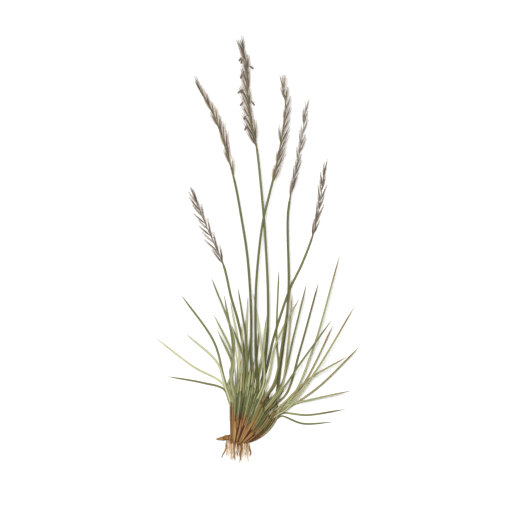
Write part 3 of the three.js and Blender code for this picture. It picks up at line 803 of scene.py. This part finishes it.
# All the blades of one bunch: leaves that stand out, those that fill it, and finer ones between them,
# fewer towards the sides of the fan
def bunchBlades(n):
    name, (start, end) = stack[n][0], stack[n][2:4]
    rng = np.random.default_rng(seed + n)
    lines, places = bunchLines(n, rng)
    count, own = len(lines), len(leaves[name])
    dryTips = ease(*blade["dryTip"], places)
    dryTips = dryTips * rng.uniform(*blade["dryUneven"], count)
    dead = rng.random(count) < blade["dead"]
    dead[:own] = False
    dryTips = np.where(dead, blade["allDry"], dryTips)
    stray = blade["toneStray"]
    right = smooth(*blade["right"], places)
    tones = rng.choice(blade["tones"], count) + rng.uniform(-stray, stray, count)
    tones -= blade["rightDarker"] * right
    halves = np.full(count, blade["halfWidth"]) * rng.uniform(*blade["uneven"], count)
    halves *= 1 - blade["rightThinner"] * right
    halves[own:] *= ease(*fill["width"], places[own:])
    aged = rng.choice(blade["aged"], count)
    aged[places < blade["leftmost"]] = blade["agedLeft"]
    groups = [bladeTubes(lines, n, halves, dryTips, aged, tones, blade["rings"], rng)]
    places = mix(start, end, rng.random(int(fine["perArc"] * arc * (end - start))))
    crowded = smooth(*fine["ends"], places) * smooth(*fine["starts"], places)
    places = places[rng.random(len(places)) < crowded]
    if len(places) == 0:
        places = np.array([mix(start, end, 0.5)])
    count = len(places)
    leans = mix(fine["left"], fill["right"], places) + fine["stray"] * (rng.random(count) - 0.5)
    lengths = mix(fine["short"], fine["long"], rng.random(count) ** fine["mostlyShort"])
    lengths = lengths * (1 - fine["shorter"] * np.abs(places - fine["longestAt"]))
    lines = [fillLine(*row) for row in zip(places, leans, lengths)]
    halves = rng.uniform(*fine["halfWidth"], count)
    dryTips = np.where(rng.random(count) < fine["dead"], blade["allDry"], rng.uniform(*fine["dryTip"], count))
    tones = rng.uniform(*fine["tone"], count)
    aged = rng.choice(blade["aged"], count)
    groups.append(bladeTubes(lines, n, halves, dryTips, aged, tones, fine["rings"], rng, fine["lift"]))
    addPiece(f"{name}_blades", groups, bladeSkin, "leaf", f"{name}_leaves")


for n, entry in enumerate(stack):
    if len(entry) > 1:
        bunchSheaths(n)
        bunchBlades(n)
print("sheaths and blades made")


# A stem is one line: the culm is its lower stretch, and the rachis of the spike goes on from it
def stemLine(name):
    place, low, high = stems[name][:3]
    return evenLine([mouth(place, gap), mouth(place, 8.0), *low, *high])


# Culm: half widths at both ends, its joint and its leaf sheath as shares of its length
culm = dict(
    foot=0.94, tip=0.8, snug=0.03, corners=12, rings=120, inset=4.0, tone=[0.5, 0.75], joint=0.1,
    jointSwell=0.14, jointOver=1.1, jointDry=0.75, jointDryOver=0.9, sheathEnd=0.3, sheathThick=0.13,
    sheathTone=0.42, sheathDry=0.8, sheathDryOver=9, sheathThins=0.5, sheathThinsOver=[0.1, 0.3],
    sheathRings=60, torn=0.004, slant=0.012, toneStray=0.12, footDry=0.2, footDryOver=[0.05, 0],
)


# Culm: rings whose half width falls evenly, swollen by a bell curve at the joint near the foot; a leaf
# sheath wraps its lower part and ends torn
def addCulm(name, n):
    rng = np.random.default_rng(seed + 100 + n)
    place, low = stems[name][:2]
    line = stemLine(name)
    length = lengthOf(line)
    inside = mouth(place, gap - np.linspace(culm["inset"], 0, 8, endpoint=False))
    flat = pointsAt(line, np.linspace(0, shareNear(line, low[-1]), 300))
    path = onSheet(np.vstack([inside, flat]), n)
    share = np.linspace(0, 1, culm["rings"])
    fromJoint = (share - culm["joint"]) * length
    half = mix(culm["foot"], culm["tip"], share) - culm["snug"]
    half = half + culm["jointSwell"] * np.exp(-((fromJoint / culm["jointOver"]) ** 2))
    dry = culm["jointDry"] * np.exp(-((fromJoint / culm["jointDryOver"]) ** 2))
    dry = dry + culm["footDry"] * smooth(*culm["footDryOver"], share)
    tone = mix(*culm["tone"], share) + rng.uniform(-culm["toneStray"], culm["toneStray"])
    groups = [roundTubes(pointsAt(path, share)[None], half, culm["corners"], tone, dry, rng)]
    shape = ringShape(culm["corners"])
    ragged = rng.uniform(-culm["torn"], culm["torn"], len(shape))
    torn = culm["sheathEnd"] + ragged + culm["slant"] * shape[:, 0]

    def size(at):
        wall = culm["sheathThick"] * (1 - culm["sheathThins"] * smooth(*culm["sheathThinsOver"], at))
        grown = mix(culm["foot"], culm["tip"], at) + wall
        return grown, grown

    grid, profile, run = sleeve(path, culm["joint"], torn, size, shape, culm["sheathRings"], 0.8, 0.12)
    end = torn.max() * length
    dry = culm["sheathDry"] * smooth(end - culm["sheathDryOver"], end, run)
    shift, side = rng.uniform(0, grainLength), profile[..., 0] / culm["foot"]
    groups.append(dressed(grid, profile, run, shift, culm["sheathTone"], dry, side))
    addPiece(f"{name}_stalk", groups, culmSkin, "culm", name)


# Spikes: the solid's length of a spikelet and the share of it at the tip, how husks sit on the rachis
# and taper to their awns, how they lean along a row, and the rachis itself. Pairs named over are where
# a change begins and ends.
ear = dict(
    length=9, last=0.8, lengths=[0.85, 1.08], flat=0.7, sunk=0.3, aside=0.4, first=2, rings=20, stub=0.16,
    awn=0.13, widest=0.3, awnFrom=0.86, unevenLean=20, tones=0.38, inner=0.95, innerAwnFrom=0.95,
    innerThick=0.7, innerLighter=0.6, innerOut=0.6, rachisTip=0.35, rachisRings=120, rachisLift=0.45,
    rachisTone=0.35, node=3.4, nodeStep=0.22, rachisInset=1.5, liftOver=[0, 0.05], liftEnd=[1, 0.9],
    thinOver=[0, 0.12], dryOver=[0, 0.15], point=0.7, pointOver=[0.96, 1.0], green=0.8,
    greenOver=[0.22, 0.0], shoulder=1.5, curl=1.4, stagger={-1: 0.1, 1: 0.5}, jitter=0.22, lastBack=0.75,
    lowest=3, lowOver=[0, 0.3], topOver=[0.55, 0.95], leanStray=3, tilts=[0.6, 1.1],
    innerTilt=[0.4, 0.15],
)

# The look of a spike in full flower: spikelets for each drawn one (crowd), their length against the
# solid's, half width, the inner husk's share of it, the share of the drawn lean (open) and of that at
# the foot and the top, how they differ and turn up or down by turns (uneven, tilt), degrees between the
# two husks (spread), tone, bare rachis below them (under 0 they begin on the culm), and the rachis'
# thickness and dryness
full = dict(
    crowd=1.2, longer=1.5, halfWidth=0.6, inner=1.2, open=0.62, lowLean=0.5, topLean=0.5, uneven=0.2,
    tilt=1.3, spread=6, light=0.0, bare=0, rachis=0.9, rachisDry=0.12,
)

# The look of a slender, bleached spike
slender = dict(
    crowd=1.15, longer=1.3, halfWidth=0.5, inner=1.0, open=0.62, lowLean=0.6, topLean=0.4, uneven=0.08,
    tilt=1.0, spread=4, light=0.06, bare=0, rachis=0.6, rachisDry=0.6,
)
spikeLooks = dict(
    culm_1=dict(slender, open=0.8, longer=1.35, light=0.0),
    culm_2=dict(full, bare=6, light=0.08, uneven=0.1, longer=1.4, open=0.75),
    culm_3=dict(full, lowLean=1.0, uneven=0.1, crowd=1.35),
    culm_4=dict(full, bare=-9, crowd=1.35, longer=1.25, halfWidth=0.54, open=0.55, topLean=0.8),
    culm_5=dict(slender, longer=1.15, halfWidth=0.45, inner=0.9, topLean=0.8),
    culm_6=dict(slender, light=0.0),
)
huskShape = np.array([
    (-0.5, -0.8), (0.0, -0.95), (0.5, -0.8), (1.0, -0.35), (0.72, 0.3), (0.3, 0.62),
    (0.0, 1.0), (-0.3, 0.62), (-0.72, 0.3), (-1.0, -0.35),
])


# Husks from base points along directions: half width rises to the widest place at a third and falls
# to a fine awn, with the tip turned up or down
def huskTubes(bases, outs, reaches, wide, thick, tilts, n, rng, tones, awnFrom):
    share = np.linspace(0, 1, ear["rings"])
    flat = bases[:, None] + outs[:, None] * (reaches[:, None] * share)[..., None]
    paths = onSheet(flat, n)
    paths[..., 2] += tilts[:, None] * share ** ear["curl"]
    widest = ear["widest"]
    past = np.clip((share - widest) / (awnFrom - widest), 0, 1)
    body = smooth(-0.05, widest, share) * (1 - past ** ear["shoulder"])
    least = ease(ear["stub"], ear["awn"], 0, widest, share)
    half = np.maximum(wide * body, least)
    profile = huskShape * np.stack([half, np.maximum(thick * body, least)], -1)[None, :, None, :]
    profile = np.broadcast_to(profile, (len(bases), *profile.shape[1:]))
    dry = 1.0 - ear["green"] * smooth(*ear["greenOver"], share)
    return carried(paths, profile), factsOf(paths, profile, half, tones[:, None], dry, rng)


# Rachis of a spike: a round tube that narrows to its tip, stepped at the nodes
def rachisTubes(line, start, look, n, rng):
    length = lengthOf(line)
    share = np.linspace(start - ear["rachisInset"] / length, 1, ear["rachisRings"])
    along = np.linspace(0, 1, len(share))
    lift = ear["rachisLift"] * smooth(*ear["liftOver"], along) * smooth(*ear["liftEnd"], along)
    paths = onSheet(pointsAt(line, share), n, lift)[None]
    step = 1 - ear["nodeStep"] * ((share * length / ear["node"]) % 1)
    half = mix(culm["tip"], ear["rachisTip"], along) * step
    half = half * ease(1, look["rachis"], *ear["thinOver"], along)
    half = half * (1 - ear["point"] * smooth(*ear["pointOver"], along))
    dry = ease(full["rachisDry"], look["rachisDry"], *ear["dryOver"], along)
    return roundTubes(paths, half, 8, ear["rachisTone"], dry, rng)


# Spike: the rachis and its two rows of spikelets, each two husks, the outer with its awn and a shorter
# one inside. Along a row they lean out less at the foot and at the top, and by turns more and less.
def addSpike(name, n):
    rng = np.random.default_rng(seed + 150 + n)
    look = spikeLooks[name]
    wide, thick = look["halfWidth"], look["halfWidth"] * ear["flat"]
    line = stemLine(name)
    length = lengthOf(line)
    start = shareNear(line, stems[name][1][-1]) + gap / length
    groups = [rachisTubes(line, start, look, n, rng)]
    for side, (drawn, lean) in ((-1, stems[name][3]), (1, stems[name][4])):
        count = round(drawn * look["crowd"])
        jitter = rng.uniform(-ear["jitter"], ear["jitter"], count)
        order = (np.arange(count) + ear["stagger"][side] + jitter) / count
        last = 1 - ear["lastBack"] * ear["length"] / length
        at = mix(start + (ear["first"] + look["bare"]) / length, last, order)
        if look["bare"] > 0 and side > 0:
            at[0] = start + ear["lowest"] / length
        turns = np.where(np.arange(count) % 2 == 0, 1, -1)
        ahead = unit(pointsAt(line, at + 0.001) - pointsAt(line, at - 0.001))
        across = np.stack([-ahead[:, 1], ahead[:, 0]], -1)
        shy = ease(look["lowLean"], 1, *ear["lowOver"], order)
        shy = shy * ease(1, look["topLean"], *ear["topOver"], order)
        leaning = lean * look["open"] * shy + ear["unevenLean"] * look["uneven"] * turns
        stray = rng.uniform(-ear["leanStray"], ear["leanStray"], count)
        turn = np.radians(-side * leaning + stray)[:, None]
        outs = ahead * np.cos(turn) + across * np.sin(turn)
        bases = pointsAt(line, at) - ahead * ear["sunk"] - across * side * ear["aside"]
        reaches = ear["length"] * mix(1, ear["last"], order) * rng.uniform(*ear["lengths"], count)
        tilts = look["tilt"] * turns * rng.uniform(*ear["tilts"], count)
        tones = look["light"] + rng.uniform(0, ear["tones"], count)
        reaches = reaches * look["longer"] * (1 + look["uneven"] * turns)
        groups.append(huskTubes(bases, outs, reaches, wide, thick, tilts, n, rng, tones, ear["awnFrom"]))
        turn = turn - side * np.radians(look["spread"])
        most, down = ear["innerTilt"]
        outs = ahead * np.cos(turn) + across * np.sin(turn)
        groups.append(huskTubes(
            bases + outs * ear["innerOut"], outs, reaches * ear["inner"], wide * look["inner"],
            thick * ear["innerThick"], tilts * most - down, n, rng, tones + ear["innerLighter"],
            ear["innerAwnFrom"],
        ))
    spike = name.replace("culm", "spike")
    addPiece(f"{spike}_ear", groups, huskSkin, "spike", spike)


# Anthers of the spike in flower: where each hangs, and the way it points
anthers = dict(
    spots=[
        (1.0, 267.2, -7, -10), (1.5, 266.4, -2, -10), (6.6, 261.6, 7, -5), (1.6, 256.2, -3, -10),
        (1.3, 244.8, -10, -8), (2.2, 245.2, -5, -10), (2.0, 236.4, -6, -10), (3.9, 226.8, -4, -10),
        (5.0, 219.8, -5, -9), (8.0, 237, 6, -8),
    ],
    length=[2.6, 3.9], halfWidth=0.45, filament=0.2, gape=[1.0, 2.6], aside=0.2, lift=0.5, tone=[0.3, 0.7],
)


# Each anther is two swollen lobes side by side, pinched at both ends, at the end of a bowed filament
def addAnthers(name, n):
    rng = np.random.default_rng(seed + 190)
    line = stemLine(name)
    threads, lobes = [], []
    for x, y, dx, dy in anthers["spots"]:
        spot, down = np.array([x, y], float), unit(np.array([dx, dy], float))
        root = pointsAt(line, shareNear(line, spot - (0, 4)))
        bow = rootSpacedLine([root, mix(root, spot, 0.6) + (0, 1.2), spot])
        threads.append(pointsAt(bow, np.linspace(0, 1, 24)))
        aside = np.array([-down[1], down[0]]) * anthers["aside"]
        long, gape = rng.uniform(*anthers["length"]), rng.uniform(*anthers["gape"])
        for way in (-1, 1):
            apart = ((0, 0.3), (0.5, 1), (1, gape))
            points = [spot + down * long * share + aside * way * wide for share, wide in apart]
            lobes.append(pointsAt(rootSpacedLine(points), np.linspace(0, 1, 16)))
    groups = []
    for lines, half in ((threads, anthers["filament"]), (lobes, anthers["halfWidth"])):
        paths = onSheet(np.array(lines), n, anthers["lift"])
        share = np.linspace(0, 1, paths.shape[1])
        swollen = mix(0.35, 1, np.sin(np.pi * share) ** 0.5)
        wide = half * (np.ones_like(share) if lines is threads else swollen)
        tone = rng.uniform(*anthers["tone"], len(lines))[:, None]
        groups.append(roundTubes(paths, wide, 8, tone, 0.5 if lines is threads else 1.0, rng))
    addPiece("spike_3_anthers", groups, antherSkin, "spike", "spike_3")


for n, entry in enumerate(stack):
    if len(entry) == 1:
        addCulm(entry[0], n)
        addSpike(entry[0], n)
addAnthers("culm_3", 10)
print("culms and spikes made")


# Crown: its middle and half sizes, how far its knobs rise, and how far it goes on under the sheaths.
# Each row of knobs is turns round both angles and where they start. Its tone is painted lighter on the
# knobs and darker in the hollows between them, as painted light and shade.
crown = dict(
    x=-0.8, y=-0.4, z=5.6, halfX=7.6, halfY=2.5, halfZ=5.4, knob=0.035, highest=0.6,
    knobs=[(9, 5, 0.4, 1.0), (17, 8, 2.0, 0.3), (26, 13, 1.1, 2.2)], rings=72, corners=56, ends=0.03,
    tone=0.5, knobLightAndHollowShade=0.2, dry=0.7, grain=(0.8, 3, 1),
)

# Creeping rootstock: its line back to the growing tip, half widths at both ends, and its scales: where
# they begin and how much of the line they fill, how long they are, and how far they flare. Each scale
# is painted darker over a short way from its base, as shade under the scale before it.
creeping = dict(
    points=[(-3.5, 2.3, 4.4), (-7.5, 2.3, 3.7), (-12, 1.75, 3), (-17, 1.1, 2.6)], thick=2.75, tip=0.25,
    grow=0.75, core=0.8, corners=20, scales=9, scalesOver=[0.08, 0.82], scaleLength=[0.1, 0.13],
    flare=[0.83, 0.3], flareOver=0.2, torn=0.01, farthest=0.985, darkOver=2.2, tone=0.78, darker=0.5, dry=0.9,
    point=0.75, pointOver=[0.93, 1.0],
)

# Roots that stand out: points, half widths at both ends, and how old the bark is
roots = [
    ([(-9, 0, 3.4), (-10.3, -6, 2.6), (-13, -12.5, 1.4)], 0.7, 0.4, 0.95),
    ([(-9.8, -4, 3), (-9.2, -7, 2.2), (-9.3, -10.5, 1.6)], 0.5, 0.35, 0.35),
    ([(-7, -1, 5), (-6.8, -4, 5), (-6.3, -8, 4)], 0.55, 0.35, 0.4),
    ([(-4, -1.5, 8), (-4.2, -7, 8.6), (-4, -12.7, 7.6)], 0.9, 0.6, 1.0),
    ([(-1.8, -2, 4), (-2, -6, 3.6), (-1.5, -11.5, 2.4)], 0.6, 0.4, 0.7),
    ([(1, -2, 9), (0.8, -7, 10), (0, -13.2, 9.4)], 0.85, 0.45, 1.0),
    ([(4, -2, 5), (4.5, -6, 4.4), (3.8, -10, 3)], 0.6, 0.4, 0.4),
    ([(5.6, -1.4, 7), (7.3, -7, 6.6), (6.9, -10.6, 5)], 0.65, 0.45, 0.9),
]

# Rootlets: those of the solid model, and hair roots between them with the ranges they are drawn from
rootlets = dict(count=12, half=0.32, reach=8.5, sway=3, left=-7, right=5.5, low=1.6, high=11)
hairs = dict(
    count=26, half=0.24, x=[-9.5, 6.5], z=[0.6, 11], reach=[9, 15.5], sway=[-2, 2], tone=[0.35, 1.0],
    old=0.22, oldDry=0.7,
)

# Bark of all of them: how far a root bends and how often, its wrinkles, its fine tip, its tones, and how
# much younger it is towards the tip
bark = dict(
    bend=0.22, bends=9, bendOver=[0, 0.3], wrinkles=55, point=0.6, pointOver=[0.9, 1.0], rest=0.02,
    tone=[0.2, 0.6], younger=0.5, youngerOver=[0.7, 1.0], rings=44, corners=12,
)


# Crown: an ellipsoid in rings along X, its radius lifted by small sine knobs
def addCrown():
    theta = np.linspace(crown["ends"], np.pi - crown["ends"], crown["rings"])[:, None]
    phi = 2 * np.pi * np.arange(crown["corners"]) / crown["corners"]
    knobs = sum(np.sin(a * theta + p) * np.sin(b * phi + q) for a, b, p, q in crown["knobs"])
    radius = np.sin(theta) * (1 + crown["knob"] * knobs)
    across = np.minimum(crown["y"] - radius * np.cos(phi) * crown["halfY"], crown["highest"])
    up = np.maximum(crown["z"] + radius * np.sin(phi) * crown["halfZ"], 0.0)
    x = np.broadcast_to(crown["x"] - crown["halfX"] * np.cos(theta), across.shape)
    grid = np.stack([x, across, up], -1)
    # Painted light and shade: the tone rises on the knobs and falls in the hollows between them
    tone = crown["tone"] + crown["knobLightAndHollowShade"] * knobs
    facts = dict(tone=tone, dry=crown["dry"], side=0.0, fibre=grid * crown["grain"])
    addPiece("crown", [(grid[None], facts)], corkSkin, "rootstock", "rootstock")


# Creeping rootstock: a core that narrows to the growing tip, under overlapping scales that flare from
# their base and whose free ends are drawn out to a point on one side
def addCreeping():
    rng = np.random.default_rng(seed + 202)
    line = rootSpacedLine(creeping["points"])
    length = lengthOf(line)
    share = np.linspace(0, 1, 70)
    core = mix(creeping["tip"], creeping["thick"], (1 - share) ** creeping["grow"]) * creeping["core"]
    core = core * (1 - creeping["point"] * smooth(*creeping["pointOver"], share))
    groups = [roundTubes(pointsAt(line, share)[None], core, creeping["corners"], 0.55, 0.6, rng)]
    shape = ringShape(creeping["corners"])
    around = np.arctan2(shape[:, 1], shape[:, 0])
    least, more = creeping["scaleLength"]
    narrow, flare = creeping["flare"]
    first, over = creeping["scalesOver"]
    for i in range(creeping["scales"]):
        begin = first + over * i / creeping["scales"]
        facing = 0.5 + 0.5 * np.cos(around - rng.uniform(0, 2 * np.pi))
        ragged = rng.uniform(-creeping["torn"], creeping["torn"], len(shape))
        ends = np.minimum(begin + least + more * facing**1.5 + ragged, creeping["farthest"])

        def size(at, begin=begin):
            grown = mix(creeping["tip"], creeping["thick"], np.clip(1 - at, 0, 1) ** creeping["grow"])
            grown = grown * (narrow + flare * smooth(begin, begin + creeping["flareOver"], at))
            return grown, grown

        grid, profile, run = sleeve(line, begin, ends, size, shape, 18, back=0.5, wall=0.08)
        # Painted shade: each scale is darker near its base, where the scale before it overlaps it
        dark = smooth(begin * length + creeping["darkOver"], begin * length, run)
        tone = creeping["tone"] - creeping["darker"] * dark
        groups.append(dressed(grid, profile, run, 40 * i, tone, creeping["dry"]))
    addPiece("creeping_rootstock", groups, corkSkin, "rootstock", "rootstock")


# Roots along lines that bend a little from side to side: half width falls from foot to tip, with small
# wrinkles along it
def rootTubes(lines, first, last, tone, dry, rings, corners, rng, wrinkle=0.1):
    share = np.linspace(0, 1, rings)
    paths = np.stack([pointsAt(rootSpacedLine(line), share) for line in lines])
    wave = rng.uniform(0, 6, (len(lines), 2))
    bend = bark["bend"] * np.sin(share * bark["bends"] + wave[:, :1])
    paths[..., 0] += bend * smooth(*bark["bendOver"], share)
    half = mix(np.asarray(first)[:, None], np.asarray(last)[:, None], share)
    half = half * (1 - bark["point"] * smooth(*bark["pointOver"], share))
    half = half * (1 + wrinkle * np.sin(share * bark["wrinkles"] + wave[:, 1:]))
    paths[..., 2] = np.maximum(paths[..., 2], half + bark["rest"])
    return roundTubes(paths, half, corners, tone, dry, rng)


# Roots with bark that is younger towards the tip, then rootlets in a fan under the crown
def addRoots():
    rng = np.random.default_rng(seed + 203)
    lines, first, last, old = zip(*roots)
    tone = rng.uniform(*bark["tone"], len(roots))[:, None]
    share = np.linspace(0, 1, bark["rings"])
    dry = np.array(old)[:, None] - bark["younger"] * smooth(*bark["youngerOver"], share)
    tubes = rootTubes(lines, first, last, tone, dry, bark["rings"], bark["corners"], rng)
    addPiece("roots", [tubes], rootSkin, "rootstock", "rootstock")
    draw = draws(seed)
    lines = []
    for i in range(rootlets["count"]):
        x = mix(rootlets["left"], rootlets["right"], (i + draw()) / rootlets["count"])
        z = mix(rootlets["low"], rootlets["high"], draw())
        reach = rootlets["reach"] * mix(0.7, 1.2, draw())
        sway = rootlets["sway"] * (draw() - 0.5)
        middle = (x + sway * 0.6, -2.5 - reach / 2, z * 0.9)
        lines.append([(x, -1.6, z), middle, (x + sway, -2.6 - reach, z * 0.75)])
    for i in range(hairs["count"]):
        x, z, reach, sway = (rng.uniform(*hairs[key]) for key in ("x", "z", "reach", "sway"))
        top = 0.4 if x < rootlets["left"] else -1.0
        middle = (x + sway * 0.3, top - reach / 2, z * 0.85)
        lines.append([(x, top, z), middle, (x + sway, top - reach, z * 0.6)])
    thick = np.where(np.arange(len(lines)) < rootlets["count"], rootlets["half"], hairs["half"])
    tone = rng.uniform(*hairs["tone"], len(lines))[:, None]
    dry = np.where(rng.random(len(lines)) < hairs["old"], hairs["oldDry"], 0.0)[:, None]
    groups = [rootTubes(lines, thick, thick * 0.4, tone, dry, 26, 7, rng, 0.05)]
    addPiece("rootlets", groups, rootSkin, "rootstock", "rootstock")


addCrown()
addCreeping()
addRoots()
print("rootstock and roots made")


# Board: matt and off-white, with a faint tooth, wide enough for every view. Its half width and the
# height of the tooth are in metres.
board = dict(half=6.0, tooth=900.0, height=0.0001, colours={0: "#f1f0ec", 1: "#fbfaf8"})


def addBoard():
    material, tree = newMaterial("Board, matt white")
    place = addNode(tree, "TexCoord").outputs["Object"]
    tooth = addNode(tree, "TexNoise", {"Vector": place, "Scale": board["tooth"], "Detail": 2.0})
    tint = addNode(tree, "ValToRGB", {0: tooth}, stops=board["colours"])
    bump = addNode(tree, "Bump", {"Height": tooth, "Strength": 0.05, "Distance": board["height"]})
    skin = addNode(tree, "BsdfPrincipled", {
        "Base Color": tint, "Roughness": 0.9, "Specular IOR Level": 0.1, "Normal": bump,
    })
    addNode(tree, "OutputMaterial", {0: skin})
    half = board["half"]
    mesh = bpy.data.meshes.new("board")
    corners = [(x * half, y * half, 0) for x, y in ((-1, -1), (1, -1), (1, 1), (-1, 1))]
    mesh.from_pydata(corners, [], [(0, 1, 2, 3)])
    mesh.materials.append(material)
    addObject("board", mesh)


# Lights: an even white sky and one soft light almost straight above, a little to the left, so that the
# shadows stay narrow and the board between the leaves stays white. Its size and place are in metres.
light = dict(sky=0.35, key=2.65, size=0.22, place=(-0.03, 0.022, 1.6))


def addLights():
    scene = bpy.context.scene
    scene.world = bpy.data.worlds.new("sky")
    scene.world.use_nodes = True
    sky = scene.world.node_tree.nodes["Background"]
    sky.inputs["Color"].default_value = (1.0, 1.0, 1.0, 1.0)
    sky.inputs["Strength"].default_value = light["sky"]
    lamp = bpy.data.lights.new("key", "AREA")
    lamp.energy = light["key"] * 10
    lamp.size = light["size"]
    key = addObject("key", lamp)
    key.location = light["place"]
    key.rotation_mode = "QUATERNION"
    key.rotation_quaternion = (-key.location).to_track_quat("-Z", "Y")


# Camera: straight down from far off; the frame is 358.4 mm wide round a point of the tuft
view = dict(x=11.2, y=129.3, width=358.4, lens=400.0, sensor=36.0)


def addCamera():
    lens = bpy.data.cameras.new("camera")
    lens.lens, lens.sensor_width = view["lens"], view["sensor"]
    lens.clip_start, lens.clip_end = 0.1, 20.0
    camera = addObject("camera", lens)
    height = view["width"] * view["lens"] / view["sensor"]
    camera.location = (np.array([view["x"], view["y"], height]) + toRow) * 0.001
    bpy.context.scene.camera = camera


addBoard()
addLights()
addCamera()
bpy.context.scene.view_settings.view_transform = "Standard"
print("board, lights and camera made")
